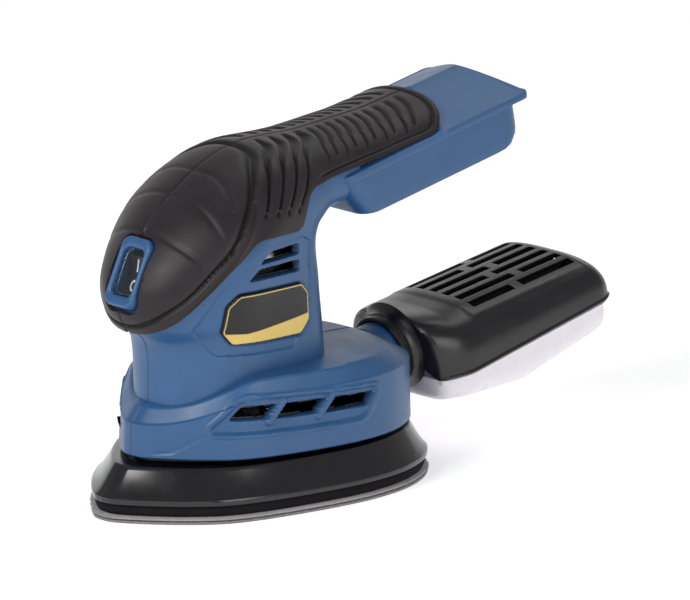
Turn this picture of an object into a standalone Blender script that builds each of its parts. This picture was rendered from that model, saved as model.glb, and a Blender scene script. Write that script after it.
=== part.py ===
"""Detail mouse sander, modelled as separate pieces.

Sizes are in millimetres, and the finished pieces are scaled to Blender's metres at the end.
+Z is up, -Y is the pointed front, +X is the tool's left side. The origin is on the motor's axis
at the sanding face.
"""
import math

import bmesh
import bpy
import numpy as np
from mathutils import Matrix, Vector

MM = 0.001
WELD = 0.002             # points closer than this are one point

# ---------------------------------------------------------------- clearances and walls
GAP = 0.3                # between pieces that touch
WALL = 2.4               # blue shell
RUN = 1.0                # least gap beside a moving piece

# ---------------------------------------------------------------- platen stack
PLATEN_NOSE = -68.5      # foremost point of the sole
PLATEN_REAR = 73.5       # rearmost point of the sole
PLATEN_HALF = 46.3       # half of its width
SHEET_THICK = 1.0
HOOK_THICK = 1.2
FOAM_THICK = 3.6
PLATEN_LIP = 1.6         # upright edge of the platen
PLATEN_FLARE = 11.0      # height of its sloping sides
FLARE_INSET = 6.3        # how far they lean in
BELLY_INSET = 12.5       # raised middle that goes up into the skirt
BELLY_HIGH = 1.8
ORBIT = 0.8              # eccentricity of the drive pin

# ---------------------------------------------------------------- base skirt of the housing
SKIRT_GAP = 2.2          # under the skirt
SKIRT_INSET = 5.8        # skirt inside the sole, at the sides
SKIRT_NOSE_INSET = 14.5
SKIRT_REAR_INSET = 6.6
BELT_FRONT = 32.5        # height of the belt line at the nose
BELT_REAR = 44.5         # and along the rear half
BELT_RISE_FROM = -50.0   # where the belt line starts to climb
BELT_RISE_TO = -17.0
LEDGE_HIGH = 5.6         # belt line to lid edge
LEDGE_INSET = 3.4
LEDGE_NOSE_INSET = 6.0
LEDGE_REAR_INSET = 12.0
LID_CROWN = 2.0

# ---------------------------------------------------------------- head, column and handle
COLUMN_HALF = 27.5
HANDLE_HALF = 24.5
HEAD_BULGE = 6.0         # how much wider the head is than the column
HEAD_BULGE_AT = (-27.0, 100.0)
HEAD_BULGE_SPREAD = 17.0
GRIP_PROUD = 1.8         # grip surface above the blue surface
GRIP_RECESS = 1.2        # grip let into the blue surface

# ---------------------------------------------------------------- battery foot and tail roof
TAIL_AT = (34.0, 113.5)  # where the foot's lip begins (y, z)
TAIL_PITCH = 11.3        # degrees, rising to the rear
FOOT_HALF = 26.0
FOOT_FRONT = -6.0
FOOT_REAR = 83.0
FOOT_DEEP = 15.0
FOOT_CORNER = 7.0
ROOF_HALF = 27.3
ROOF_REAR = 88.0
ROOF_EAVE = 3.8
ROOF_EDGE = 2.3
ROOF_RIDGE = 12.4
ROOF_HIP = 10.0
BAY_FRONT = 6.0          # battery bay, open at the rear and below
BAY_HALF = 23.4
BAY_CEILING = -1.6
CEILING_THICK = 2.2

# ---------------------------------------------------------------- dust outlet and dust box
DUST_AT = (69.0, 38.0)   # centre of the box's neck (y, z)
DUST_PITCH = 13.0
SPIGOT_RADIUS = 12.0
SPIGOT_WALL = 1.8
SPIGOT_REACH = 7.0       # past the neck's face
SPIGOT_INSIDE = 6.0      # from the neck's face into the housing
NECK_RADIUS = 15.0
NECK_LONG = 6.8
BOX_FRONT = 5.5          # box behind the neck's face
BOX_HALF = 28.5
BOX_LONG = 94.0
BOX_NOSE_HALF = 17.5
BOX_CHAMFER = 22.0
PARTING = -10.0
TRAY_DEEP = 18.0
TRAY_TURN = 47.0         # where the tray's floor is deepest
BOX_WALL = 1.8
SLOT_COUNT = 6           # slots across the cover, each split by a bridge
SLOT_PITCH = 6.8
SLOT_WIDE = 3.2
SLOTS_FROM = 33.0
SLOTS_MIDDLE = 60.0
SLOTS_TO = 87.0
SLOT_STAGGER = 3.5

# ---------------------------------------------------------------- switch
SWITCH_AT = (-52.9, 89.6)
SWITCH_LEAN = 25.5       # degrees back from upright
BEZEL_LONG = 26.0
BEZEL_WIDE = 15.0
BEZEL_DEEP = 5.0
WINDOW_LONG = 18.0
WINDOW_WIDE = 11.0
BOOT_THICK = 0.8
ROCKER_PIVOT = -5.0
ROCKER_TILT = 8.0

# ---------------------------------------------------------------- motor
MOTOR_RADIUS = 17.9
MOTOR_LONG = 46.0
MOTOR_FOOT = 51.5        # underside of the can
SHAFT_RADIUS = 2.5
FAN_RADIUS = 25.0
PLATE_RADIUS = 21.0
BEARING_OUT = 8.0
BEARING_HIGH = 5.0
PLATE_THICK = 3.0

SCREW_SHANK = 1.5
SCREW_HEAD = 3.0
BOSS_RADIUS = 3.6

COLOURS = {
    "blue": ((0.045, 0.13, 0.28), 0.42, 0.0),
    "rubber": ((0.022, 0.017, 0.020), 0.62, 0.0),
    "black_plastic": ((0.018, 0.016, 0.018), 0.30, 0.0),
    "clear": ((0.80, 0.82, 0.84), 0.08, 0.0),
    "label": ((0.010, 0.006, 0.007), 0.25, 0.0),
    "steel": ((0.55, 0.55, 0.56), 0.30, 1.0),
    "brass": ((0.72, 0.50, 0.20), 0.30, 1.0),
    "copper": ((0.62, 0.26, 0.12), 0.35, 1.0),
    "foam": ((0.028, 0.026, 0.028), 0.90, 0.0),
    "hook": ((0.52, 0.51, 0.52), 0.95, 0.0),
    "abrasive": ((0.42, 0.36, 0.30), 0.95, 0.0),
    "board": ((0.02, 0.16, 0.07), 0.45, 0.0),
    "milky": ((0.80, 0.78, 0.80), 0.35, 0.0),
    "paper": ((0.75, 0.72, 0.62), 0.85, 0.0),
    "red_lead": ((0.45, 0.02, 0.02), 0.50, 0.0),
    "black_lead": ((0.02, 0.02, 0.02), 0.50, 0.0),
    "post": ((0.03, 0.03, 0.03), 0.75, 0.0),
}


# ================================================================ small tools
def clear_scene():
    for old in list(bpy.data.objects):
        bpy.data.objects.remove(old, do_unlink=True)


def material(kind):
    """A Principled material for one of the finishes in COLOURS."""
    found = bpy.data.materials.get(kind)
    if found:
        return found
    colour, roughness, metallic = COLOURS[kind]
    made = bpy.data.materials.new(kind)
    made.use_nodes = True
    shader = made.node_tree.nodes["Principled BSDF"]
    shader.inputs["Base Color"].default_value = (*colour, 1.0)
    shader.inputs["Roughness"].default_value = roughness
    shader.inputs["Metallic"].default_value = metallic
    if kind == "clear":
        shader.inputs["Transmission Weight"].default_value = 0.9
    return made


def make(name, points, faces, kind="blue", frame=None):
    """An object from points, moved by a frame, with its faces pointing out."""
    mesh = bpy.data.meshes.new(name)
    mesh.from_pydata([Vector(p) for p in points], [], [list(f) for f in faces])
    if frame is not None:
        mesh.transform(frame)
    shape = bmesh.new()
    shape.from_mesh(mesh)
    bmesh.ops.recalc_face_normals(shape, faces=shape.faces)
    shape.to_mesh(mesh)
    shape.free()
    mesh.materials.append(material(kind))
    made = bpy.data.objects.new(name, mesh)
    bpy.context.scene.collection.objects.link(made)
    return made


def loft(name, rings, kind="blue", frame=None):
    """A closed skin through rings of equal point count, with a fan over each end."""
    count = len(rings[0])
    points = [p for ring in rings for p in ring]
    faces = []
    for k in range(len(rings) - 1):
        low = k * count
        for i in range(count):
            j = (i + 1) % count
            faces.append((low + i, low + j, low + count + j, low + count + i))
    for start in (0, (len(rings) - 1) * count):
        centre = len(points)
        points.append(np.mean(points[start:start + count], axis=0))
        faces += [(start + i, start + (i + 1) % count, centre) for i in range(count)]
    return make(name, points, faces, kind, frame)


def prism(name, outline, low, high, axis="Z", kind="blue", frame=None):
    """A flat outline carried along an axis. An X prism takes (y, z) points, a Z prism (x, y)."""
    count = len(outline)
    if axis == "X":
        points = [(low, a, b) for a, b in outline] + [(high, a, b) for a, b in outline]
    elif axis == "Y":
        points = [(a, low, b) for a, b in outline] + [(a, high, b) for a, b in outline]
    else:
        points = [(a, b, low) for a, b in outline] + [(a, b, high) for a, b in outline]
    sides = [(i, (i + 1) % count, count + (i + 1) % count, count + i) for i in range(count)]
    return make(name, points, sides + [range(count), range(count, 2 * count)], kind, frame)


def block(name, low, high, kind="blue", frame=None):
    outline = [(low[0], low[1]), (high[0], low[1]), (high[0], high[1]), (low[0], high[1])]
    return prism(name, outline, low[2], high[2], "Z", kind, frame)


def turned(name, profile, segments=32, kind="steel", frame=None):
    """A profile of (radius, height) points turned about Z. It closes on the axis where its
    ends have radius 0, and otherwise runs back to its first point, as a ring does."""
    solid = profile[0][0] == 0 and profile[-1][0] == 0
    angles = [2 * math.pi * i / segments for i in range(segments)]
    points = []
    starts = []
    for radius, height in profile:
        starts.append(len(points))
        if radius == 0:
            points.append((0, 0, height))
        else:
            points += [(radius * math.cos(a), radius * math.sin(a), height) for a in angles]
    faces = []
    spans = len(profile) - 1 if solid else len(profile)
    for k in range(spans):
        n = (k + 1) % len(profile)
        one, two = starts[k], starts[n]
        for i in range(segments):
            j = (i + 1) % segments
            if profile[k][0] == 0:
                faces.append((one, two + j, two + i))
            elif profile[n][0] == 0:
                faces.append((one + i, one + j, two))
            else:
                faces.append((one + i, one + j, two + j, two + i))
    made = make(name, points, faces, kind, frame)
    shade_round(made)
    return made


def rod(name, radius, low, high, segments=24, kind="steel", frame=None):
    return turned(name, [(0, low), (radius, low), (radius, high), (0, high)], segments, kind, frame)


def ring(name, inner, outer, low, high, segments=32, kind="steel", frame=None):
    profile = [(inner, low), (outer, low), (outer, high), (inner, high)]
    return turned(name, profile, segments, kind, frame)


def shade_round(thing, angle=35.0):
    thing.data.shade_smooth()
    thing.data.set_sharp_from_angle(angle=math.radians(angle))


def combine(target, cutter, operation):
    """A Boolean whose result becomes the target's own mesh. The cutter is used up.

    The exact solver goes first. Where it leaves an open edge, or a volume that the two shapes
    can't give, the manifold solver does the same step.
    """
    limits = volume_limits(volume(target.data), volume(cutter.data), operation)
    for solver in ("EXACT", "MANIFOLD"):
        step = target.modifiers.new(operation, "BOOLEAN")
        step.operation = operation
        step.solver = solver
        step.object = cutter
        graph = bpy.context.evaluated_depsgraph_get()
        result = bpy.data.meshes.new_from_object(target.evaluated_get(graph))
        target.modifiers.clear()
        weld(result)
        if is_closed(result) and limits[0] <= volume(result) <= limits[1]:
            break
    target.data = result
    bpy.data.objects.remove(cutter, do_unlink=True)
    return target


def volume_limits(one, two, operation):
    """The least and greatest volume that a Boolean of two volumes can have."""
    slack = 0.002 * max(one, two)
    if operation == "DIFFERENCE":
        return one - two - slack, one + slack
    if operation == "UNION":
        return max(one, two) - slack, one + two + slack
    return 0.0, min(one, two) + slack


def volume(mesh):
    shape = bmesh.new()
    shape.from_mesh(mesh)
    size = shape.calc_volume()
    shape.free()
    return size


def is_closed(mesh):
    shape = bmesh.new()
    shape.from_mesh(mesh)
    closed = all(len(edge.link_faces) == 2 for edge in shape.edges)
    shape.free()
    return closed


def weld(mesh):
    """Merge a Boolean's doubled points and take out slivers."""
    shape = bmesh.new()
    shape.from_mesh(mesh)
    bmesh.ops.remove_doubles(shape, verts=shape.verts, dist=WELD)
    bmesh.ops.dissolve_degenerate(shape, dist=WELD, edges=shape.edges)
    shape.to_mesh(mesh)
    shape.free()


def cut(target, *cutters):
    for cutter in cutters:
        combine(target, cutter, "DIFFERENCE")
    return target


def join(target, *others):
    for other in others:
        combine(target, other, "UNION")
    return target


def copy_of(thing, name):
    made = thing.copy()
    made.data = thing.data.copy()
    made.name = name
    bpy.context.scene.collection.objects.link(made)
    return made


def rounded(half_x, half_y, radius, steps=4):
    """Points round a rectangle with round corners, anticlockwise."""
    points = []
    for turn, (sx, sy) in enumerate(((1, 1), (-1, 1), (-1, -1), (1, -1))):
        for i in range(steps + 1):
            a = math.radians(90 * (turn + i / steps))
            x = sx * (half_x - radius) + radius * math.cos(a)
            points.append((x, sy * (half_y - radius) + radius * math.sin(a)))
    return points


def frame_at(y, z, pitch=0.0, x=0.0):
    """A frame at (x, y, z) whose Y axis rises to the rear by pitch degrees."""
    move = Matrix.Translation((x, y, z))
    return move @ Matrix.Rotation(math.radians(pitch), 4, "X")


def along(frame, point):
    """A frame's point, as a point of the whole object."""
    return frame @ Vector(point)


def smooth_step(value, low, high):
    t = np.clip((value - low) / (high - low), 0.0, 1.0)
    return t * t * (3 - 2 * t)


def curve_through(points, count):
    """Evenly counted points on a smooth curve through the given ones (centripetal)."""
    p = np.asarray(points, float)
    p = np.vstack([2 * p[0] - p[1], p, 2 * p[-1] - p[-2]])
    knots = np.concatenate([[0], np.cumsum(np.linalg.norm(np.diff(p, axis=0), axis=1) ** 0.5)])
    out = []
    for t in np.linspace(knots[1], knots[-2], count):
        k = min(int(np.searchsorted(knots, t, "right")) - 1, len(p) - 3)
        k = max(k, 1)
        t0, t1, t2, t3 = knots[k - 1:k + 3]
        a = [((knots[k + i] - t) * p[k - 1 + i] + (t - knots[k - 1 + i]) * p[k + i])
             / (knots[k + i] - knots[k - 1 + i]) for i in range(3)]
        b0 = ((t2 - t) * a[0] + (t - t0) * a[1]) / (t2 - t0)
        b1 = ((t3 - t) * a[1] + (t - t1) * a[2]) / (t3 - t1)
        out.append(((t2 - t) * b0 + (t - t1) * b1) / (t2 - t1))
    return np.array(out)


# ================================================================ shapes shared by the pieces
# One side of the sole's outline, as shares of its length from the nose and of its half width.
IRON = ((0.0, 0.0), (0.009, 0.12), (0.137, 0.58), (0.243, 0.79), (0.433, 0.935), (0.616, 1.0),
        (0.743, 0.968), (0.849, 0.854), (0.94, 0.64), (0.988, 0.34), (1.0, 0.0))


def iron(nose, rear, half, z, side=18):
    """The pointed outline as a ring at height z, from the nose round by +X."""
    share = curve_through(IRON, side + 1)
    y = nose + share[:, 0] * (rear - nose)
    x = share[:, 1] * half
    xs = np.concatenate([x, -x[-2:0:-1]])
    ys = np.concatenate([y, y[-2:0:-1]])
    return np.stack([xs, ys, np.full(len(xs), float(z))], axis=1)


def sole(inset, z):
    """The sole's outline drawn in by an inset. The nose draws in further, as it is pointed."""
    return iron(PLATEN_NOSE + ORBIT + 1.4 * inset, PLATEN_REAR + ORBIT - inset,
                PLATEN_HALF - inset, z)


def skirt(inset, z, nose_inset=None, rear_inset=None):
    """The skirt's outline drawn in by an inset."""
    nose = PLATEN_NOSE + SKIRT_NOSE_INSET + (1.2 * inset if nose_inset is None else nose_inset)
    rear = PLATEN_REAR - SKIRT_REAR_INSET - (inset if rear_inset is None else rear_inset)
    return iron(nose, rear, PLATEN_HALF - SKIRT_INSET + 1.6 - inset, z)


Z_SHEET = 0.0
Z_HOOK = Z_SHEET + SHEET_THICK + GAP
Z_FOAM = Z_HOOK + HOOK_THICK + GAP
Z_PLATEN = Z_FOAM + FOAM_THICK + GAP
Z_FLARE = Z_PLATEN + PLATEN_LIP
Z_PLATEN_TOP = Z_FLARE + PLATEN_FLARE
Z_BELLY = Z_PLATEN_TOP + BELLY_HIGH
Z_SKIRT = Z_PLATEN_TOP + SKIRT_GAP

TAIL = frame_at(*TAIL_AT, TAIL_PITCH)
DUST = frame_at(*DUST_AT, DUST_PITCH)
SWITCH = frame_at(*SWITCH_AT, 90.0 - SWITCH_LEAN)

# Head and handle: each row is where the section's inner end is (y, z), where its outer end is,
# its half width, and how square its outer and inner halves are. The rows fan round the arch
# under the handle, from the foot of the column to the tail.
BODY_ROWS = (
    ((27.0, 36.0), (-45.2, 36.0), COLUMN_HALF, 1.9, 4.0),
    ((26.0, 47.0), (-45.2, 46.0), COLUMN_HALF, 1.95, 4.0),
    ((24.8, 59.0), (-45.2, 57.0), COLUMN_HALF, 2.0, 4.0),
    ((24.0, 67.0), (-47.0, 63.5), COLUMN_HALF, 2.0, 4.0),
    ((23.5, 74.0), (-53.4, 69.3), COLUMN_HALF, 2.05, 4.0),
    ((23.0, 81.0), (-57.0, 76.6), COLUMN_HALF, 2.1, 4.0),
    ((22.6, 87.0), (-56.6, 84.0), COLUMN_HALF, 2.2, 3.8),
    ((22.4, 91.0), (-52.3, 93.2), COLUMN_HALF, 2.2, 3.6),
    ((22.6, 94.0), (-45.6, 102.3), COLUMN_HALF, 2.2, 3.4),
    ((23.1, 96.0), (-36.6, 111.6), COLUMN_HALF, 2.2, 3.2),
    ((24.0, 98.0), (-25.6, 119.4), COLUMN_HALF, 2.2, 3.0),
    ((25.4, 99.6), (-12.0, 125.8), COLUMN_HALF - 0.3, 2.2, 2.9),
    ((27.0, 100.9), (0.5, 128.4), COLUMN_HALF - 1.2, 2.2, 2.8),
    ((29.5, 101.8), (12.0, 128.6), HANDLE_HALF + 0.4, 2.2, 2.8),
    ((33.0, 102.5), (24.0, 128.4), HANDLE_HALF, 2.2, 2.8),
    ((39.0, 103.6), (35.0, 129.0), HANDLE_HALF, 2.2, 2.8),
    ((50.0, 105.8), (47.0, 130.0), HANDLE_HALF, 2.2, 2.8),
    ((62.0, 108.3), (59.0, 131.0), HANDLE_HALF, 2.2, 2.8),
    ((74.0, 110.8), (71.0, 133.0), HANDLE_HALF, 2.2, 2.8),
    ((87.0, 113.5), (84.0, 135.3), HANDLE_HALF, 2.2, 2.8),
)


def body_rings(offset, count=28, rows=BODY_ROWS):
    """The head, column and handle as rings, moved outwards by an offset.

    Across each section the outline is a superellipse, whose outer and inner halves have powers
    of their own. The head's sides are then widened by a bell-shaped bulge.
    """
    angles = np.arange(count) * 2 * math.pi / count
    c, s = np.cos(angles), np.sin(angles)
    rings = []
    for inner, outer, half, power_out, power_in in rows:
        inner, outer = np.array(inner), np.array(outer)
        axis = (outer - inner) / np.linalg.norm(outer - inner)
        reach = np.linalg.norm(outer - inner) / 2 + offset
        power = np.where(c > 0, power_out, power_in)
        long = reach * np.sign(c) * np.abs(c) ** (2 / power)
        wide = (half + offset) * np.sign(s) * np.abs(s) ** (2 / power)
        flat = (inner + outer) / 2 + long[:, None] * axis
        away = ((flat - np.array(HEAD_BULGE_AT)) ** 2).sum(axis=1)
        wide = wide * (1 + HEAD_BULGE / half * np.exp(-away / (2 * HEAD_BULGE_SPREAD ** 2)))
        rings.append(np.stack([wide, flat[:, 0], flat[:, 1]], axis=1))
    return rings


def body_solid(name, offset, rows=BODY_ROWS):
    return loft(name, body_rings(offset, rows=rows))


def belt_height(y):
    """Height of the belt line at a place along the skirt."""
    return BELT_FRONT + (BELT_REAR - BELT_FRONT) * smooth_step(y, BELT_RISE_FROM, BELT_RISE_TO)


def base_solid(name, offset, bottom):
    """The base skirt with its belt line, ledge and crowned lid, drawn out by an offset."""
    low = skirt(-offset, bottom)
    belt = skirt(0.6 - offset, 0)
    belt[:, 2] = belt_height(belt[:, 1]) + 0.4 * offset
    ledge = skirt(LEDGE_INSET - offset, 0, LEDGE_NOSE_INSET - offset, LEDGE_REAR_INSET - offset)
    ledge[:, 2] = belt_height(belt[:, 1]) + LEDGE_HIGH + offset
    rings = [low, belt, ledge]
    for share, rise in ((0.6, 0.75), (0.25, 1.0)):
        lid = ledge * [share, share, 1.0]
        lid[:, 2] += LID_CROWN * rise
        lid[:, 2] = np.maximum(lid[:, 2], lid[:, 2].mean())
        rings.append(lid)
    return loft(name, rings)


def grip_region(name, grow=0.0):
    """Everything forward of and above the grip's lower edge, as a prism right across."""
    g = grow
    edge = [(-80, 62 - g), (-56, 65.5 - g), (-49, 72.5 - g), (-40.7, 82.8 - g),
            (-32.6, 91.4 - g), (-20, 100.6 - g), (3.5 + g, 100.8 - g), (9.5 + g, 114.0 - g),
            (74.5 + g, 125.0 - g), (82.5 + g, 137), (87 + g, 150), (-80, 150)]
    return prism(name, edge, -60, 60, "X")


def roof_solid(name, inset=0.0):
    """The tail roof: a crowned section whose rear end slopes down as a hip."""
    rings = []
    shares = np.linspace(-1, 1, 9)
    for y, drop in ((40.0, 0.0), (60.0, 0.0), (ROOF_REAR - ROOF_HIP, 0.0), (ROOF_REAR, 1.0)):
        half = ROOF_HALF - inset
        rise = (ROOF_RIDGE - ROOF_EAVE) * (1 - drop)
        reach = y - (inset if drop else 0)
        points = [(half * s, reach, ROOF_EAVE - inset + rise * (1 - abs(s) ** 1.5)) for s in shares]
        points += [(half, reach, ROOF_EAVE - ROOF_EDGE), (-half, reach, ROOF_EAVE - ROOF_EDGE)]
        rings.append(np.array(points))
    return loft(name, rings, frame=TAIL)


def foot_solid(name, inset=0.0):
    """The battery foot: upright walls with round corners, its lower rear edge rounded."""
    rings = []
    for z in (-FOOT_DEEP + inset, -FOOT_DEEP + 2, -FOOT_DEEP + 5, -FOOT_DEEP + FOOT_CORNER, 0.0,
              ROOF_EAVE - ROOF_EDGE + 0.6):
        front = FOOT_FRONT - 8.1 * z / FOOT_DEEP + inset
        climb = max(0.0, FOOT_CORNER - (z + FOOT_DEEP)) / FOOT_CORNER
        rear = FOOT_REAR - inset - FOOT_CORNER * (1 - math.sqrt(1 - min(climb, 0.999) ** 2))
        middle, reach = (front + rear) / 2, (rear - front) / 2
        plan = rounded(FOOT_HALF - inset, reach, FOOT_CORNER - inset / 2)
        rings.append(np.array([(x, y + middle, z) for x, y in plan]))
    return loft(name, rings, frame=TAIL)


def switch_pocket(name, grow, low, high):
    plan = rounded(BEZEL_WIDE / 2 + grow, BEZEL_LONG / 2 + grow, 4.0 + grow)
    return prism(name, plan, low, high, "Z", frame=SWITCH)


LABEL = ((-31.6, 76.8), (-27.6, 80.4), (4.6, 80.2), (8.6, 76.4), (9.0, 66.6), (4.6, 62.0),
         (-27.0, 62.6), (-31.6, 67.6))
LABEL_THICK = 0.6
LABEL_FLOOR = COLUMN_HALF - 1.1

# Clamshell screws: where each runs across the housing, as (y, z).
SCREWS = {
    "base_screw": (-43.0, 30.5),
    "column_screw_lower": (-31.0, 56.0),
    "column_screw_upper": (-31.0, 72.0),
    "neck_screw": (30.0, 108.4),
    "handle_screw": tuple(along(TAIL, (0, 40.0, 8.0)))[1:],
    "rear_screw": (52.5, 33.0),
}
SCREW_HEAD_AT = {
    "base_screw": 10.5,
    "column_screw_lower": 17.5,
    "column_screw_upper": 18.0,
    "neck_screw": 18.5,
    "handle_screw": 15.5,
    "rear_screw": 26.0,
}
SCREW_TIP = 9.0          # how far a screw reaches into the left half

POSTS = {"front_left": (16.0, -31.0), "front_right": (-16.0, -31.0),
         "rear_left": (24.0, 41.0), "rear_right": (-24.0, 41.0)}
POST_RADIUS = 4.0
SEAT_RADIUS = 8.0
SEAT_DEEP = 7.0
Z_POST = Z_BELLY + GAP
Z_SEAT = Z_SKIRT + 9.0   # lower face of the post seats
Z_POST_TOP = Z_SEAT + SEAT_DEEP - RUN


def across(y, z):
    """A frame whose Z axis runs along +X through (y, z)."""
    return Matrix.Translation((0, y, z)) @ Matrix.Rotation(math.pi / 2, 4, "Y")


# ================================================================ the blue housing
def outer_shape():
    """The housing's outside, with the grips' recess already taken off."""
    shape = body_solid("outside", 0.0)
    join(shape, roof_solid("roof"), foot_solid("foot"))
    recess = grip_region("recess", GAP)
    cut(recess, body_solid("core", -GRIP_RECESS))
    cut(shape, recess)
    join(shape, base_solid("base", 0.0, Z_SKIRT))
    return shape


def inner_shape():
    """The housing's hollow: head, column and handle, and the base open at the bottom."""
    inset = GRIP_RECESS + WALL
    hollow = body_solid("hollow", -inset)
    keep_clear = block("bay_roof", (-40, BAY_FRONT - WALL, -40),
                       (40, 120, BAY_CEILING + CEILING_THICK), frame=TAIL)
    cut(hollow, keep_clear)
    join(hollow, base_solid("base_hollow", -WALL, Z_SKIRT - 2.0))
    return hollow


def keep_in_hollow(hollow):
    """Bosses, seats and webs are what the hollow leaves standing."""
    for name, (y, z) in SCREWS.items():
        cut(hollow, rod("boss_" + name, BOSS_RADIUS, -40, 40, 12, frame=across(y, z)))
    for name, (x, y) in POSTS.items():
        socket = POST_RADIUS + RUN + ORBIT
        floor = Z_SEAT + SEAT_DEEP
        profile = [(0, floor), (socket, floor), (socket, Z_SEAT), (SEAT_RADIUS, Z_SEAT),
                   (SEAT_RADIUS, 60), (0, 60)]
        cut(hollow, turned("seat_" + name, profile, 16, frame=frame_at(y, 0, x=x)))
    top = MOTOR_FOOT + MOTOR_LONG
    for low, high, radius in ((MOTOR_FOOT - PLATE_THICK - 2 - GAP, MOTOR_FOOT - PLATE_THICK - GAP,
                               FAN_RADIUS - 9), (top - 10, top - 8, MOTOR_RADIUS + GAP)):
        web = block("web", (-40, -20, low), (40, 40, high))
        cut(web, rod("web_hole", radius, low - 1, high + 1, 32))
        cut(hollow, web)
    return hollow


def screw_path(name, y, z):
    """Where a screw goes in from the right: a counterbore, then a shank hole."""
    head = -SCREW_HEAD_AT[name]
    profile = [(0, -60), (SCREW_HEAD + GAP, -60), (SCREW_HEAD + GAP, head + GAP),
               (SCREW_SHANK + GAP, head + GAP), (SCREW_SHANK + GAP, SCREW_TIP + GAP),
               (0, SCREW_TIP + GAP)]
    return turned("path_" + name, profile, 12, frame=across(y, z))


def column_vents():
    """Two sloping-ended slots above the label, right through both side walls."""
    upper = [(-17.8, 92.4), (-12.0, 95.8), (1.6, 95.4), (1.8, 92.2)]
    lower = [(-22.8, 87.2), (-18.6, 90.2), (2.2, 89.2), (2.4, 86.0)]
    return [prism("vent", upper, -40, 40, "X"), prism("vent", lower, -40, 40, "X")]


def skirt_vents():
    """Three windows in a row in each side of the skirt, with slanted ends."""
    made = []
    for start in (-26.5, -8.0, 10.5):
        low = 35.2 + 0.02 * start
        window = [(start, low), (start + 15.0, low), (start + 17.0, low + 4.0), (start + 2, low + 4)]
        made.append(prism("window", window, -60, 60, "X"))
    return made


def halves(whole, names, kind, cutters):
    """Copies of a whole shape, each kept on its own side of the seam and then cut."""
    for name, low, high in ((names[0], -200, GAP / 2), (names[1], -GAP / 2, 200)):
        half = copy_of(whole, name)
        cut(half, block("away", (low, -200, -50), (high, 200, 250)), *cutters())
        half.data.materials.clear()
        half.data.materials.append(material(kind))
        shade_round(half)
    bpy.data.objects.remove(whole, do_unlink=True)


def housing():
    """The two blue halves."""
    hollow = keep_in_hollow(inner_shape())

    def cutters():
        yield copy_of(hollow, "hollow_copy")
        yield block("bay", (-BAY_HALF, BAY_FRONT, -FOOT_DEEP - 9), (BAY_HALF, 130, BAY_CEILING),
                    frame=TAIL)
        yield switch_pocket("pocket", GAP, -BEZEL_DEEP - 1, 20)
        yield switch_pocket("through", -2.0, -30, 20)
        yield from column_vents() + skirt_vents()
        for side in (1, -1):
            low, high = sorted((side * LABEL_FLOOR, side * 60))
            yield prism("label_pocket", grown(LABEL, GAP), low, high, "X")
        yield rod("duct", SPIGOT_RADIUS + GAP, -20, 12, 28, frame=duct_frame())
        for name, (y, z) in SCREWS.items():
            yield screw_path(name, y, z)
        yield block("lead_hole", (-7, 12, BAY_CEILING - 1), (7, 16, 3), frame=TAIL)

    halves(outer_shape(), ("left_housing", "right_housing"), "blue", cutters)
    bpy.data.objects.remove(hollow, do_unlink=True)


def grown(outline, distance):
    """An outline of a convex shape moved outwards by a distance."""
    p = np.array(outline, float)
    centre = p.mean(axis=0)
    before, after = np.roll(p, 1, axis=0), np.roll(p, -1, axis=0)
    tangent = (after - p) / np.linalg.norm(after - p, axis=1)[:, None]
    back = (p - before) / np.linalg.norm(p - before, axis=1)[:, None]
    n1 = np.stack([tangent[:, 1], -tangent[:, 0]], axis=1)
    n2 = np.stack([back[:, 1], -back[:, 0]], axis=1)
    flip = np.sign(((p - centre) * (n1 + n2)).sum(axis=1))[:, None]
    both = (n1 + n2) * flip
    return p + distance * both / (1 + (n1 * n2).sum(axis=1))[:, None]


def grips():
    """The soft halves over the head and the handle."""
    skin = body_solid("skin", GRIP_PROUD)
    combine(skin, grip_region("region"), "INTERSECT")

    def cutters():
        yield body_solid("under", -GRIP_RECESS + GAP)
        yield switch_pocket("pocket", GAP, -30, 20)
        name = "handle_screw"
        yield screw_path(name, *SCREWS[name])

    halves(skin, ("left_grip", "right_grip"), "rubber", cutters)


def labels():
    for name, side in (("left_label", 1), ("right_label", -1)):
        low, high = sorted((side * (LABEL_FLOOR + GAP), side * (LABEL_FLOOR + GAP + LABEL_THICK)))
        prism(name, LABEL, low, high, "X", "label")


def screws():
    for name, (y, z) in SCREWS.items():
        head = -SCREW_HEAD_AT[name]
        profile = [(0, head - 1.2), (1.0, head - 2.4), (SCREW_HEAD, head - 2.0), (SCREW_HEAD, head),
                   (SCREW_SHANK, head), (SCREW_SHANK, SCREW_TIP - 1.5), (0, SCREW_TIP)]
        turned(name, profile, 12, "steel", across(y, z))


# ================================================================ dust outlet
def duct_frame():
    """Along the dust box's axis, Z pointing out to the rear."""
    return DUST @ Matrix.Rotation(-math.pi / 2, 4, "X")


def spigot():
    """The blue outlet tube, let into the rear wall and held between the halves."""
    return ring("dust_spigot", SPIGOT_RADIUS - SPIGOT_WALL, SPIGOT_RADIUS, -SPIGOT_INSIDE,
                SPIGOT_REACH, 28, "blue", duct_frame())


def dust_section(y, inset=0.0):
    """Half width and top height of the dust box at a place along it."""
    t = np.clip(y / BOX_CHAMFER, 0, 1)
    half = BOX_NOSE_HALF + (BOX_HALF - BOX_NOSE_HALF) * math.sin(t * math.pi / 2)
    top = 12.4 - 0.075 * y + 2.6 * max(0.0, 1 - y / 20.0)
    return half - inset, top - inset


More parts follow.
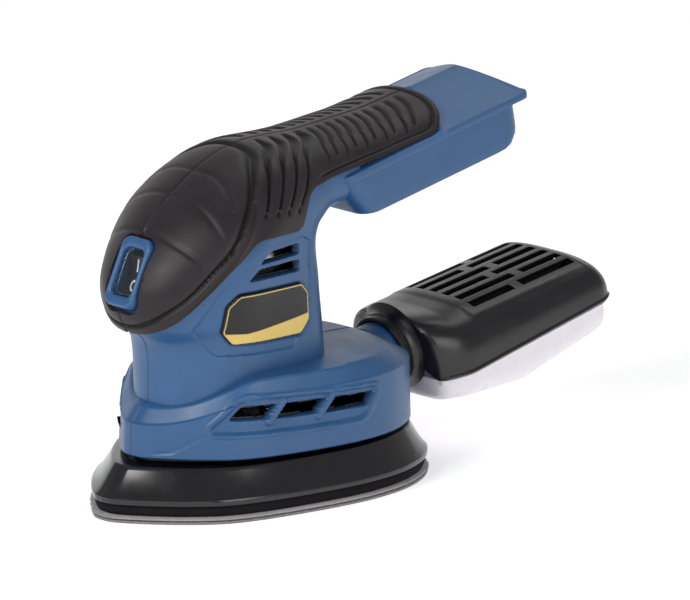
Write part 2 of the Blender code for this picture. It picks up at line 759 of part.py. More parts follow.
def dust_rings(low, inset, front, rear, count=9):
    """Arched sections of the box's upper part, from front to rear, down to a height."""
    rings = []
    between = [y for y in (9, 13, 18, 24, 50, 76) if y > front + 1]
    for y in (front, *between, rear - 8, rear - 2.5, rear):
        half, top = dust_section(y, inset)
        end = max(0.0, y - (rear - 8.0)) / 8.0
        half -= 3.5 * end ** 2
        top -= 4.0 * end ** 2
        shares = np.linspace(0, math.pi, count)
        xs = half * np.sign(np.cos(shares)) * np.abs(np.cos(shares)) ** 0.45
        zs = low + (top - low) * np.abs(np.sin(shares)) ** 0.5
        rings.append(np.stack([xs, np.full(count, float(y)), zs], axis=1))
    return rings


def dust_cover():
    """Black cover: an arched shell with a ring neck and slots over the filter."""
    cover = loft("dust_cover", dust_rings(PARTING, 0.0, BOX_FRONT, BOX_LONG), "black_plastic",
                 DUST)
    join(cover, rod("neck", NECK_RADIUS, 0, NECK_LONG, 32, frame=duct_frame()))
    cut(cover, loft("inside", dust_rings(PARTING - 5, BOX_WALL, BOX_FRONT + BOX_WALL,
                                         BOX_LONG - BOX_WALL), frame=DUST))
    cut(cover, rod("neck_bore", SPIGOT_RADIUS + GAP, -5, BOX_FRONT + BOX_WALL + 0.2, 28,
                   frame=duct_frame()))
    for i in range(SLOT_COUNT):
        x = (i - (SLOT_COUNT - 1) / 2) * SLOT_PITCH
        shift = SLOT_STAGGER * (1 if i % 2 else -1)
        for start, end in ((SLOTS_FROM, SLOTS_MIDDLE + shift - 2),
                           (SLOTS_MIDDLE + shift + 2, SLOTS_TO)):
            cut(cover, block("slot", (x - SLOT_WIDE / 2, start, 0), (x + SLOT_WIDE / 2, end, 30),
                             frame=DUST))
    shade_round(cover)
    return cover


def tray_rings(inset, top):
    """The tray's stations along the box, each a rounded U closed along its top."""
    rings = []
    rear = BOX_LONG - 2.5 - inset
    front = 7.5 + inset
    for y in (front, front + 3, 17, 24, TRAY_TURN, 68, rear - 6, rear - 2, rear):
        half = dust_section(y)[0] - 1.5 - inset
        end = max(0.0, y - (rear - 6.0)) / 6.0
        half -= 3.0 * end ** 2
        deepest = PARTING - TRAY_DEEP
        flat = deepest + (0.2 * (TRAY_TURN - y) if y < TRAY_TURN else 0.09 * (y - TRAY_TURN))
        low = flat + inset + 3.0 * end ** 2
        arc = np.linspace(0, math.pi, 9)
        xs = half * np.sign(np.cos(arc)) * np.abs(np.cos(arc)) ** 0.35
        zs = top - (top - low) * np.abs(np.sin(arc)) ** 0.35
        rings.append(np.stack([xs, np.full(len(xs), float(y)), zs], axis=1))
    return rings


def dust_tray():
    """Milky tray that closes the box from below."""
    tray = loft("dust_tray", tray_rings(0.0, PARTING - GAP), "milky", DUST)
    cut(tray, loft("tray_inside", tray_rings(BOX_WALL, PARTING + 4), frame=DUST))
    shade_round(tray)
    return tray


def filter_pieces():
    """Frame and pleated paper under the slots."""
    frame = block("filter_frame", (-22.5, 30, -3.2), (22.5, 88, -1.2), "black_plastic", DUST)
    cut(frame, block("frame_hole", (-19.5, 33, -6), (19.5, 85, 3), frame=DUST))
    pleats = 12
    pitch = 38.0 / pleats
    ridge = [(-19.0 + pitch * (i + 0.5 * k), 0.9 if k else -0.9) for i in range(pleats)
             for k in (0, 1)]
    ridge.append((19.0, -0.9))
    under = [(x, z - 0.7) for x, z in reversed(ridge)]
    outline = [(x, z - 2.2) for x, z in ridge + under]
    paper = prism("filter_paper", outline, 33.5, 84.5, "Y", "paper", DUST)
    return frame, paper


# ================================================================ switch
def switch_pieces():
    bezel = switch_pocket("switch_bezel", 0.0, -BEZEL_DEEP, 0.4)
    opening = rounded(WINDOW_WIDE / 2, WINDOW_LONG / 2, 1.5)
    cut(bezel, prism("window", opening, -20, 20, "Z", frame=SWITCH))
    boot_plan = rounded(WINDOW_WIDE / 2 - GAP, WINDOW_LONG / 2 - GAP, 1.2)
    boot = prism("switch_boot", boot_plan, -1.2, 1.2, "Z", "clear", SWITCH)
    hollow = rounded(WINDOW_WIDE / 2 - GAP - BOOT_THICK, WINDOW_LONG / 2 - GAP - BOOT_THICK, 0.8)
    cut(boot, prism("boot_hollow", hollow, -4, 1.2 - BOOT_THICK, "Z", frame=SWITCH))
    case = prism("switch_body", rounded(WINDOW_WIDE / 2 - 0.6, WINDOW_LONG / 2 - 0.6, 1.0), -22.0,
                 -9.0, "Z", "black_plastic", SWITCH)
    for x in (-2.5, 2.5):
        join(case, block("terminal", (x - 0.4, -2.5, -27), (x + 0.4, 2.5, -21.5), frame=SWITCH))
    rocker_frame = SWITCH @ Matrix.Translation((0, 0, ROCKER_PIVOT)) @ \
        Matrix.Rotation(math.radians(ROCKER_TILT), 4, "X")
    side = [(-7.6, 2.7), (0, 1.5), (7.6, 2.7), (7.6, 1.0), (3.0, -3.0), (-3.0, -3.0), (-7.6, 1.0)]
    rocker = prism("rocker", side, -4.5, 4.5, "X", "black_plastic", rocker_frame)
    return bezel, boot, case, rocker


# ================================================================ motor and drive
def motor():
    """Motor can, end cap, brushes, bearings and the plate that carries them."""
    top = MOTOR_FOOT + MOTOR_LONG
    ring("motor_can", MOTOR_RADIUS - 3.2, MOTOR_RADIUS, MOTOR_FOOT, top - 6, 32, "steel")
    end = ring("motor_end_cap", BEARING_OUT / 2 + 1.2, MOTOR_RADIUS, top - 6 + GAP, top - 2, 32,
               "black_plastic")
    cut(end, rod("cap_seat", BEARING_OUT - 1 + GAP, top - 4.4, top + 5, 24))
    ring("upper_bearing", SHAFT_RADIUS + GAP, BEARING_OUT - 1, top - 4, top - 1, 24)
    under = MOTOR_FOOT - PLATE_THICK
    turned("motor_plate", [(BEARING_OUT / 2 + 1, MOTOR_FOOT - GAP), (PLATE_RADIUS, MOTOR_FOOT - GAP),
                           (PLATE_RADIUS, under), (BEARING_OUT + 2.5, under),
                           (BEARING_OUT + 2.5, under - 3), (BEARING_OUT + GAP, under - 3),
                           (BEARING_OUT + GAP, MOTOR_FOOT - 1.3),
                           (BEARING_OUT / 2 + 1, MOTOR_FOOT - 1.3)], 32, "steel")
    ring("lower_bearing", SHAFT_RADIUS + GAP, BEARING_OUT, MOTOR_FOOT - PLATE_THICK - 3.2,
         MOTOR_FOOT - 1.6, 24)
    for name, side in (("left_brush", 1), ("right_brush", -1)):
        low, high = sorted((side * 6.5, side * 13.0))
        block(name, (low, -2.2, top - 12.0), (high, 2.2, top - 7.5), "copper")


def rotor():
    """Shaft with its eccentric pin, armature, commutator, fan and counterweight."""
    top = MOTOR_FOOT + MOTOR_LONG
    pin_low = Z_PLATEN + 4.0
    hub_top = 30.0
    shaft = turned("motor_shaft", [(0, hub_top - 6), (6.4, hub_top - 6), (6.4, hub_top - 3),
                                   (SHAFT_RADIUS, hub_top - 3), (SHAFT_RADIUS, top + 1.0),
                                   (0, top + 1.0)], 24)
    armature = ring("armature", SHAFT_RADIUS + GAP, MOTOR_RADIUS - 3.2 - RUN, MOTOR_FOOT + 6,
                    top - 18, 32, "copper")
    commutator = ring("commutator", SHAFT_RADIUS + GAP, 6.0, top - 16.5, top - 7.2, 24, "brass")
    fan = rod("fan", 8.0, 36.5, 43.0, 24, "black_plastic")
    join(fan, rod("disc", FAN_RADIUS, 42.0, 43.4, 40))
    for i in range(9):
        turn = Matrix.Rotation(2 * math.pi * i / 9, 4, "Z")
        lean = turn @ Matrix.Translation((9, 0, 0)) @ Matrix.Rotation(0.35, 4, "Z")
        join(fan, block("blade", (-3, -0.7, 37.0), (16.0, 0.7, 42.5), frame=lean))
    cut(fan, rod("fan_bore", SHAFT_RADIUS + GAP, 30, 50, 20))
    weight = rod("counterweight", 8.5, 27.6, 35.0, 32)
    half = [(0.0, 0.0)] + [(19 * math.cos(a), 19 * math.sin(a)) for a in
                           np.linspace(math.pi * 1.12, math.pi * 1.88, 9)]
    join(weight, prism("lobe", half, 28.4, 34.0, "Z"))
    join(shaft, rod("eccentric", SHAFT_RADIUS + 1.5, pin_low, hub_top - 4.5, 20,
                    frame=frame_at(ORBIT, 0)))
    cut(weight, rod("weight_bore", SHAFT_RADIUS + GAP, 20, 40, 20))
    return shaft, armature, commutator, fan, weight


def baffle():
    """The plate between the fan and the platen, with an eye for the dust."""
    low, high = Z_SKIRT + 1.4, Z_SKIRT + 3.0
    rings = [skirt(WALL + GAP + 0.4, low), skirt(WALL + GAP + 0.4, high)]
    plate = loft("fan_baffle", rings, "black_plastic")
    cut(plate, rod("eye", 21.0, low - 2, high + 2, 32))
    for x, y in POSTS.values():
        cut(plate, rod("post_hole", POST_RADIUS + RUN + ORBIT, low - 2, high + 2, 20,
                       frame=frame_at(y, 0, x=x)))
    return plate


# ================================================================ platen stack
def platen_stack():
    """Sheet, hook layer, foam and the flared platen with its posts and bearing."""
    sheet = loft("abrasive_sheet", [sole(0.9, Z_SHEET), sole(0.9, Z_SHEET + SHEET_THICK)],
                 "abrasive")
    hook = loft("hook_layer", [sole(0.6, Z_HOOK), sole(0.6, Z_HOOK + HOOK_THICK)], "hook")
    foam = loft("foam_pad", [sole(0.3, Z_FOAM), sole(0.3, Z_FOAM + FOAM_THICK)], "foam")
    rings = [sole(0.2, Z_PLATEN), sole(0.0, Z_PLATEN + 0.4), sole(0.0, Z_FLARE),
             sole(FLARE_INSET, Z_PLATEN_TOP), sole(BELLY_INSET - 2.0, Z_PLATEN_TOP + 0.4),
             sole(BELLY_INSET, Z_BELLY)]
    platen = loft("platen", rings, "black_plastic")
    seat = rod("seat", BEARING_OUT + GAP, Z_PLATEN + 2.4, Z_BELLY + 5, 32, frame=frame_at(ORBIT, 0))
    cut(platen, seat)
    bearing = ring("platen_bearing", SHAFT_RADIUS + 1.5 + GAP, BEARING_OUT, Z_PLATEN + 2.8,
                   Z_PLATEN + 2.8 + BEARING_HIGH, 24, "steel", frame_at(ORBIT, 0))
    pieces = [sheet, hook, foam, platen, bearing]
    for name, (x, y) in POSTS.items():
        spot = frame_at(y, 0, x=x)
        cut(platen, rod("hole", SCREW_SHANK + GAP, Z_PLATEN - 2, Z_BELLY + 5, 12, frame=spot),
            rod("head_room", SCREW_HEAD + GAP, Z_PLATEN - 2, Z_PLATEN + 4.0, 16, frame=spot))
        post = rod("post_" + name, POST_RADIUS, Z_POST, Z_POST_TOP, 16, "post", spot)
        cut(post, rod("bore", SCREW_SHANK + GAP, Z_POST - 1, Z_POST + 9, 12, frame=spot))
        head = Z_PLATEN + 3.6
        profile = [(0, head - 2.0), (SCREW_HEAD, head - 2.0), (SCREW_HEAD, head),
                   (SCREW_SHANK, head), (SCREW_SHANK, Z_POST + 8.0), (0, Z_POST + 8.6)]
        screw = turned("post_screw_" + name, profile, 12, "steel", spot)
        pieces += [post, screw]
    shade_round(platen)
    return pieces


# ================================================================ electrics
def lead(name, points, radius, kind):
    """A round lead along a smooth path, as a tube with flat ends."""
    path = curve_through(points, 3 * len(points))
    tangents = np.gradient(path, axis=0)
    tangents /= np.linalg.norm(tangents, axis=1)[:, None]
    side = np.cross(tangents, (0.3, 0.1, 1.0))
    side /= np.linalg.norm(side, axis=1)[:, None]
    other = np.cross(tangents, side)
    angles = np.arange(8) * math.pi / 4
    rings = [p + radius * (np.cos(angles)[:, None] * u + np.sin(angles)[:, None] * v)
             for p, u, v in zip(path, side, other)]
    made = loft(name, rings, kind)
    shade_round(made, 60)
    return made


def electrics():
    """Circuit board, its heat sink, the battery terminals and the leads."""
    board = block("circuit_board", (-13, -24.0, 102.0), (13, 8.0, 103.6), "board")
    sink = block("heat_sink", (-10, -6, 103.9), (10, 4, 105.0), "steel")
    for i in range(5):
        x = -9.2 + 4.6 * i
        join(sink, block("fin", (x - 0.6, -6, 104.6), (x + 0.6, 4, 110.0)))
    terminal = block("terminal_block", (-14, BAY_FRONT + GAP, -9.5), (14, 19.0, BAY_CEILING - GAP),
                     "black_plastic", TAIL)
    for name, x in (("contact_plus", -9.0), ("contact_signal", 0.0), ("contact_minus", 9.0)):
        slot = block("slot", (x - 0.7, 14.0, -9.0), (x + 0.7, 25.0, -3.4), frame=TAIL)
        cut(terminal, slot)
        block(name, (x - 0.4, 14.4, -8.6), (x + 0.4, 30.0, -3.8), "brass", TAIL)
    hole = along(TAIL, (0, 14.0, BAY_CEILING))
    for name, x, kind in (("battery_lead_plus", 3.4, "red_lead"),
                          ("battery_lead_minus", -3.4, "black_lead")):
        y, z = hole.y, hole.z
        lead(name, [(x, y, z + 0.3), (x, y - 1.2, z + 4.0), (x, y - 8, z + 3.4),
                    (x * 1.3, 30, 115.6), (x * 1.6, 20, 113), (x * 1.8, 9, 107.5)], 1.2, kind)
    for name, x, kind in (("motor_lead_plus", 8.0, "red_lead"),
                          ("motor_lead_minus", -8.0, "black_lead")):
        lead(name, [(x, -22.0, 101.4), (x, -23.5, 97.5), (x, -22.0, 92.0), (x, -21.5, 86.0)],
             1.1, kind)


# ================================================================ bodies that move
def carry(name, frame, pieces):
    """An empty on a joint's axis that carries the moving pieces."""
    empty = bpy.data.objects.new(name, None)
    bpy.context.scene.collection.objects.link(empty)
    empty.matrix_world = frame
    bpy.context.view_layer.update()
    for piece in pieces:
        piece.data.transform(frame.inverted())
        piece.parent = empty
    return empty


def to_metres():
    """Scale every mesh and every empty's place from millimetres."""
    for thing in bpy.context.scene.objects:
        if thing.type == "MESH":
            thing.data.transform(Matrix.Scale(MM, 4))
        else:
            thing.location = thing.location * MM
    bpy.context.view_layer.update()


def main():
    clear_scene()
    housing()
    grips()
    labels()
    screws()
    spigot()
    motor()
    baffle()
    electrics()
    bezel, boot, case, rocker = switch_pieces()
    carry("rocker_axis", SWITCH @ Matrix.Translation((0, 0, ROCKER_PIVOT)), [rocker])
    carry("rotor_axis", Matrix.Identity(4), rotor())
    carry("platen_axis", frame_at(ORBIT, 0), platen_stack())
    carry("dust_box_axis", DUST, [dust_cover(), *filter_pieces()])
    carry("dust_tray_axis", DUST, [dust_tray()])
    to_metres()


main()
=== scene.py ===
"""Looks of the detail mouse sander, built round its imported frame.

Every new piece is a surface of two parameters, worked out in millimetres as whole arrays and
then put into a mesh in metres. +Z is up, -Y is the pointed front, +X is the tool's left side.
"""
import math

import bmesh
import bpy
import numpy as np
from mathutils import Matrix


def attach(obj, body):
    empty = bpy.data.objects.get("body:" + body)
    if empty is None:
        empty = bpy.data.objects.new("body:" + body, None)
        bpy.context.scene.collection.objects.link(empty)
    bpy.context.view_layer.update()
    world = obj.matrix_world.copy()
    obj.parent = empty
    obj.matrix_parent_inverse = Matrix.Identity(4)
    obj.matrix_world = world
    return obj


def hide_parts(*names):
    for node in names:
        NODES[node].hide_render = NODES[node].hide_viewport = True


bl_info = {
    "name": "Detail Mouse Sander",
    "version": (1, 0, 0),
    "blender": (4, 5, 0),
    "location": "3D View > Sidebar > Sander",
    "description": "Builds the sander's finished surfaces and materials round its CAD frame",
    "category": "Object",
}

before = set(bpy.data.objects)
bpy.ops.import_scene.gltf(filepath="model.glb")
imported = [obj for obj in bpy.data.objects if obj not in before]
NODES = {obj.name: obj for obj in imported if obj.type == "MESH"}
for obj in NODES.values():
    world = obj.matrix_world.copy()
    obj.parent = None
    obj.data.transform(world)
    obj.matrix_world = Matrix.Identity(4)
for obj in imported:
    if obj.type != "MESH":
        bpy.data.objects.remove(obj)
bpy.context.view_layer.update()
MM = 0.001

# ---------------------------------------------------------------- sizes in millimetres
SOLE = (-67.7, 74.3, 46.3)        # nose, rear and half width of the sole
NOSE_SHARE = 1.4                  # the sole's nose draws in this much more than its sides
SKIRT = (-54.0, 66.9, 42.1)       # nose, rear and half width of the skirt
SKIRT_FOOT = 21.5                 # height of the skirt's lower edge
BELT_LOW, BELT_HIGH = 34.2, 44.8  # height of the belt line at the nose and at the rear
BELT_FROM, BELT_TO = -52.0, -18.0
LEDGE_RISE = 5.6
LID_CROWN = 2.6

# One side of the sole's outline: shares of its length from the nose and of its half width.
IRON = ((0.0, 0.0), (0.009, 0.12), (0.137, 0.58), (0.243, 0.79), (0.433, 0.935), (0.616, 1.0),
        (0.743, 0.968), (0.849, 0.854), (0.94, 0.64), (0.988, 0.34), (1.0, 0.0))

# Head and handle: inner end (y, z), outer end (y, z), half width, how square the outer and the
# inner half are. The rows fan round the arch under the handle, from the column to the tail.
BODY_ROWS = (
    (27.0, 36.0, -45.2, 36.0, 27.5, 1.9, 4.0),
    (26.0, 47.0, -45.2, 46.0, 27.5, 1.95, 4.0),
    (24.8, 59.0, -45.2, 57.0, 27.5, 2.0, 4.0),
    (24.0, 67.0, -47.0, 63.5, 27.5, 2.0, 4.0),
    (23.5, 74.0, -53.4, 69.3, 27.5, 2.05, 4.0),
    (23.0, 81.0, -57.0, 76.6, 27.5, 2.1, 4.0),
    (22.6, 87.0, -56.6, 84.0, 27.5, 2.2, 3.8),
    (22.4, 91.0, -52.3, 93.2, 27.5, 2.2, 3.6),
    (22.6, 94.0, -45.6, 102.3, 27.5, 2.2, 3.4),
    (23.1, 96.0, -36.6, 111.6, 27.5, 2.2, 3.2),
    (24.0, 98.0, -25.6, 119.4, 27.5, 2.2, 3.0),
    (25.4, 99.6, -12.0, 125.8, 27.2, 2.2, 2.9),
    (27.0, 100.9, 0.5, 128.4, 26.3, 2.2, 2.8),
    (29.5, 101.8, 12.0, 128.6, 24.9, 2.2, 2.8),
    (33.0, 102.5, 24.0, 128.4, 24.5, 2.2, 2.8),
    (39.0, 103.6, 35.0, 129.0, 24.5, 2.2, 2.8),
    (50.0, 105.8, 47.0, 130.0, 24.5, 2.2, 2.8),
    (62.0, 108.3, 59.0, 131.0, 24.5, 2.2, 2.8),
    (74.0, 110.8, 71.0, 133.0, 24.5, 2.2, 2.8),
    (87.0, 113.5, 84.0, 135.3, 24.5, 2.2, 2.8),
)
HEAD_BULGE, HEAD_BULGE_AT, HEAD_BULGE_SPREAD = 6.0, (-27.0, 100.0), 17.0

# Flat outlines on the tool's side, as (y, z).
GRIP_EDGE = ((-80, 60), (-56, 65), (-49, 72.1), (-40.7, 82.8), (-32.6, 91.6), (-20.5, 101.8),
             (3.5, 100.9), (9.0, 114.9), (27.5, 117.8), (47.9, 120.9), (73.5, 125.1),
             (79.5, 131), (83.4, 138), (88, 150), (-80, 150))
LABEL = ((-31.6, 78.0), (-27.0, 82.2), (5.8, 81.0), (9.8, 77.0), (10.2, 66.6), (5.4, 61.8),
         (-26.6, 62.4), (-31.6, 67.6))
COLUMN_PANEL = ((-42.0, 69.5), (-32.0, 58.8), (1.0, 57.6), (8.8, 67.0), (12.0, 78.0),
                (12.0, 95.0), (6.0, 98.3), (-14.0, 98.3), (-26.0, 92.8), (-35.5, 84.5))
COLUMN_VENTS = (((-18.0, 92.4), (-12.0, 96.0), (4.0, 95.9), (4.4, 92.0)),
                ((-23.0, 86.6), (-18.4, 90.4), (4.6, 89.7), (5.0, 85.6)))

# Grooves of the grip, as (y, z) from the seam down each side. The neck's and the handle's are
# spaced evenly from the first to the last.
NECK_FIRST = ((4.4, 130), (-3.6, 126.4), (-8.6, 120.2), (-12.2, 114.4), (-15.5, 109.6))
NECK_LAST = ((24.8, 130.1), (14.6, 126.4), (9.3, 120.2), (5.4, 114.4), (1.5, 109))
NECK_COUNT = 4
HANDLE_FIRST = ((31.5, 131.5), (24.6, 127.1), (23.0, 122.4))
HANDLE_LAST = ((76.0, 137.0), (69.1, 132.2), (66.5, 127.6))
HANDLE_COUNT = 10
DOME_GROOVES = (((-46.3, 103.8), (-45.4, 101.3), (-41.1, 95)),
                ((-34.1, 115.5), (-34.1, 114.1), (-33.5, 104.5)),
                ((-22.8, 122.6), (-22.1, 122.6), (-25.5, 113.2)))
MASK = ((-2.8, 131), (-5.3, 128.5), (-10.5, 125.1), (-16.1, 119), (-23.4, 110), (-30.6, 100.4),
        (-38.5, 92.1), (-46, 83.2), (-53.4, 75.1), (-58, 68))
MASK_RIM = ((-17.7, 114.2), (-22.4, 107.3), (-28.6, 99.5), (-37.6, 88.4), (-45.6, 78.2))
SIDE_PANEL = ((-37.9, 31.6), (-27.0, 43.6), (30.9, 40.6), (23.0, 30.3))
SIDE_WINDOWS = (((-31.6, 36.0), (-27.4, 40.9), (-13.8, 40.5), (-17.6, 35.6)),
                ((-14.6, 35.5), (-10.8, 40.4), (6.2, 39.9), (2.4, 35.0)),
                ((5.4, 34.9), (9.2, 39.8), (28.6, 38.9), (25.2, 34.4)))
SIDE_RIBS = (((-17.4, 34.4), (-11.6, 41.6)), ((2.6, 33.8), (9.0, 41.2)))

TAIL = (34.0, 113.5, 11.3)        # y, z and pitch of the battery foot's frame
DUST = (69.0, 38.0, 13.0)         # y, z and pitch of the dust box's frame
SWITCH = (-52.9, 89.6, 64.5)      # y, z and pitch of the switch's frame

ROCKER_CENTRE = (0.0, -0.3, -3.0)   # in the switch's frame
ROCKER_TILT = 8.0                   # degrees from the frame's face, as the switch lies at rest

# Clamshell screws that go in from the right, as (y, z).
SCREWS = ((-43.0, 30.5), (-31.0, 56.0), (-31.0, 72.0), (30.0, 108.4), (71.65, 129.18),
          (52.5, 33.0))

BOX_PARTING, BOX_WALL = -10.0, 1.8
SHADE_SHEET_DROP = 3.4                   # from the cover's top to the dark sheet of painted shade under its slots
TRAY_DEEP, TRAY_TURN = 18.0, 47.0


# ================================================================ arrays
def spline(points, at):
    """Centripetal Catmull-Rom curve through rows of numbers.

    Each place counts rows from the first, and the curve there is a mean of the four nearest
    rows, weighted by how far they are in root distance.
    """
    p = np.asarray(points, float)
    p = np.vstack([2 * p[0] - p[1], p, 2 * p[-1] - p[-2]])
    knots = np.concatenate([[0], np.cumsum(np.linalg.norm(np.diff(p, axis=0), axis=1) ** 0.5)])
    t = np.interp(at, np.arange(len(p) - 2), knots[1:-1])
    k = np.clip(np.searchsorted(knots, t, "right") - 1, 1, len(p) - 3)

    def mix(low, high, a, b):
        share = ((t - knots[k + low]) / (knots[k + high] - knots[k + low]))[:, None]
        return a * (1 - share) + b * share

    a1, a2, a3 = (mix(i, i + 1, p[k + i], p[k + i + 1]) for i in (-1, 0, 1))
    return mix(0, 1, mix(-1, 1, a1, a2), mix(0, 2, a2, a3))


def smooth(value, low, high):
    """Climbs from 0 at low to 1 at high as 3t^2 - 2t^3."""
    t = np.clip((value - low) / (high - low), 0.0, 1.0)
    return t * t * (3 - 2 * t)


def softened(outline, radius):
    """An outline with each corner cut twice, the second time by a third as much."""
    p = np.asarray(outline, float)
    for cut in (radius, radius / 3):
        q = np.roll(p, -1, axis=0)
        share = np.minimum(cut / np.linalg.norm(q - p, axis=1), 0.3)[:, None]
        p = np.stack([p + (q - p) * share, q - (q - p) * share], axis=1).reshape(-1, 2)
    return p


def line_distance(a, b, line):
    """Distance from points (a, b) to a chain of straight segments."""
    best = np.full(np.shape(a), 1e9)
    for (pa, pb), (qa, qb) in zip(line[:-1], line[1:]):
        ea, eb = qa - pa, qb - pb
        t = np.clip(((a - pa) * ea + (b - pb) * eb) / (ea * ea + eb * eb), 0, 1)
        best = np.minimum(best, np.hypot(a - pa - t * ea, b - pb - t * eb))
    return best


def inside(a, b, outline):
    """Distance from points (a, b) to a closed outline's edge, positive within it."""
    p = np.asarray(outline, float)
    within = np.zeros(np.shape(a), bool)
    for (pa, pb), (qa, qb) in zip(p, np.roll(p, -1, axis=0)):
        rise = qb - pb if abs(qb - pb) > 1e-9 else 1e-9
        within ^= ((pb > b) != (qb > b)) & (a < (qa - pa) * (b - pb) / rise + pa)
    far = line_distance(a, b, np.vstack([p, p[:1]]))
    return np.where(within, far, -far)


def iron(nose, rear, half, count):
    """The pointed outline, from the nose round by +X, as arrays x and y of 2 * count points."""
    share = spline(IRON, np.linspace(0, len(IRON) - 1, count + 1))
    x = np.concatenate([share[:, 1], -share[-2:0:-1, 1]]) * half
    y = nose + np.concatenate([share[:, 0], share[-2:0:-1, 0]]) * (rear - nose)
    return x, y


def rounded(half_x, half_y, radius, count):
    """A rectangle with round corners, as count points evenly spaced round it."""
    turn = np.linspace(0, math.pi / 2, 9)
    parts = []
    for quarter, (sx, sy) in enumerate(((1, 1), (-1, 1), (-1, -1), (1, -1))):
        a = turn + quarter * math.pi / 2
        parts.append(np.stack([sx * (half_x - radius) + radius * np.cos(a),
                               sy * (half_y - radius) + radius * np.sin(a)], axis=1))
    p = np.vstack([*parts, parts[0][:1]])
    far = np.concatenate([[0], np.cumsum(np.linalg.norm(np.diff(p, axis=0), axis=1))])
    at = np.linspace(0, far[-1], count, endpoint=False)
    return np.interp(at, far, p[:, 0]), np.interp(at, far, p[:, 1])


def placed(p, place):
    """Points of a tilted frame (y, z, pitch) in the tool's frame: turned about X, then moved."""
    y, z, pitch = place
    c, s = math.cos(math.radians(pitch)), math.sin(math.radians(pitch))
    return np.stack([p[..., 0], y + p[..., 1] * c - p[..., 2] * s,
                     z + p[..., 1] * s + p[..., 2] * c], axis=-1)


def outward(p, wraps=False):
    """Unit normals of a grid of points, by the cross product of its two tangents."""
    across = np.gradient(p, axis=1)
    if wraps:
        across = (np.roll(p, -1, axis=1) - np.roll(p, 1, axis=1)) / 2
    n = np.cross(across, np.gradient(p, axis=0))
    n /= np.maximum(np.linalg.norm(n, axis=2, keepdims=True), 1e-9)
    return n * np.sign(((p - p.mean(axis=(0, 1))) * n).sum())


def quads(rows, columns, wraps=False, keep=None):
    """Corner numbers of a grid's four-sided faces, as an array, without those not kept."""
    r, c = np.meshgrid(np.arange(rows - 1), np.arange(columns if wraps else columns - 1),
                       indexing="ij")
    nxt = (c + 1) % columns
    faces = np.stack([r * columns + c, r * columns + nxt, (r + 1) * columns + nxt,
                      (r + 1) * columns + c], axis=-1).reshape(-1, 4)
    return faces if keep is None else faces[keep.ravel()]


# ================================================================ pieces
def piece(name, grid, body, material, wraps=False, keep=None, stands_for=(), marks=None,
          sharp=40.0, inward=False):
    """Put a grid of points into a mesh, tie it to its body and give it its material.

    Points that coincide are merged, so a row drawn in to one point closes the surface. Marks
    are numbers for each point that the material reads.
    """
    rows, columns = grid.shape[:2]
    faces = quads(rows, columns, wraps, keep)
    mesh = bpy.data.meshes.new(name)
    mesh.vertices.add(rows * columns)
    mesh.vertices.foreach_set("co", (grid.reshape(-1, 3) * MM).astype(np.float32).ravel())
    mesh.loops.add(faces.size)
    mesh.loops.foreach_set("vertex_index", faces.ravel().astype(np.int32))
    mesh.polygons.add(len(faces))
    mesh.polygons.foreach_set("loop_start", np.arange(0, faces.size, 4, dtype=np.int32))
    mesh.update(calc_edges=True)
    for mark, values in (marks or {}).items():
        attribute = mesh.attributes.new(mark, "FLOAT", "POINT")
        attribute.data.foreach_set("value", np.ravel(values).astype(np.float32))
    return finished(name, mesh, body, material, stands_for, sharp, inward)


def finished(name, mesh, body, material, stands_for=(), sharp=40.0, inward=False):
    """Merge a mesh's doubles, turn its faces outwards and tie it to the frame."""
    work = bmesh.new()
    work.from_mesh(mesh)
    bmesh.ops.remove_doubles(work, verts=work.verts, dist=2e-6)
    bmesh.ops.dissolve_degenerate(work, edges=work.edges, dist=2e-6)
    loose = [v for v in work.verts if not v.link_faces]
    bmesh.ops.delete(work, geom=loose, context="VERTS")
    bmesh.ops.recalc_face_normals(work, faces=work.faces)
    work.to_mesh(mesh)
    work.free()
    centres = np.zeros(len(mesh.polygons) * 3)
    normals = np.zeros(len(mesh.polygons) * 3)
    mesh.polygons.foreach_get("center", centres)
    mesh.polygons.foreach_get("normal", normals)
    areas = np.zeros(len(mesh.polygons))
    mesh.polygons.foreach_get("area", areas)
    centres, normals = centres.reshape(-1, 3), normals.reshape(-1, 3)
    middle = (centres * areas[:, None]).sum(axis=0) / areas.sum()
    out = (((centres - middle) * normals).sum(axis=1) * areas).sum()
    if (out < 0) != inward:
        mesh.flip_normals()
    mesh.shade_smooth()
    mesh.set_sharp_from_angle(angle=math.radians(sharp))
    thing = bpy.data.objects.new(name, mesh)
    bpy.context.scene.collection.objects.link(thing)
    mesh.materials.append(material)
    if stands_for:
        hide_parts(*stands_for)
    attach(thing, body)
    return thing


def walled(thing, thick, rounding=0.0):
    """Give a sheet a wall on its inner side, and round its edges."""
    solid = thing.modifiers.new("wall", "SOLIDIFY")
    solid.thickness = thick * MM
    solid.offset = -1.0
    solid.use_even_offset = True
    if rounding:
        bevel = thing.modifiers.new("rounding", "BEVEL")
        bevel.width = rounding * MM
        bevel.segments = 2
        bevel.limit_method = "ANGLE"
        bevel.angle_limit = math.radians(50)


def turned(profile, count, place):
    """A profile of (radius, y) carried round the Y axis of a tilted frame."""
    radius, y = np.asarray(profile, float).T
    a = np.arange(count) * 2 * math.pi / count
    p = np.stack([radius[:, None] * np.cos(a), y[:, None] + 0 * a, radius[:, None] * np.sin(a)],
                 axis=-1)
    return placed(p, place)


# ================================================================ materials
def linear(code, alpha=1.0):
    """An sRGB hex colour as the linear numbers that a shader takes."""
    s = np.array([int(code[i:i + 2], 16) / 255 for i in (0, 2, 4)])
    low = s / 12.92
    high = ((s + 0.055) / 1.055) ** 2.4
    return (*np.where(s <= 0.04045, low, high).tolist(), alpha)


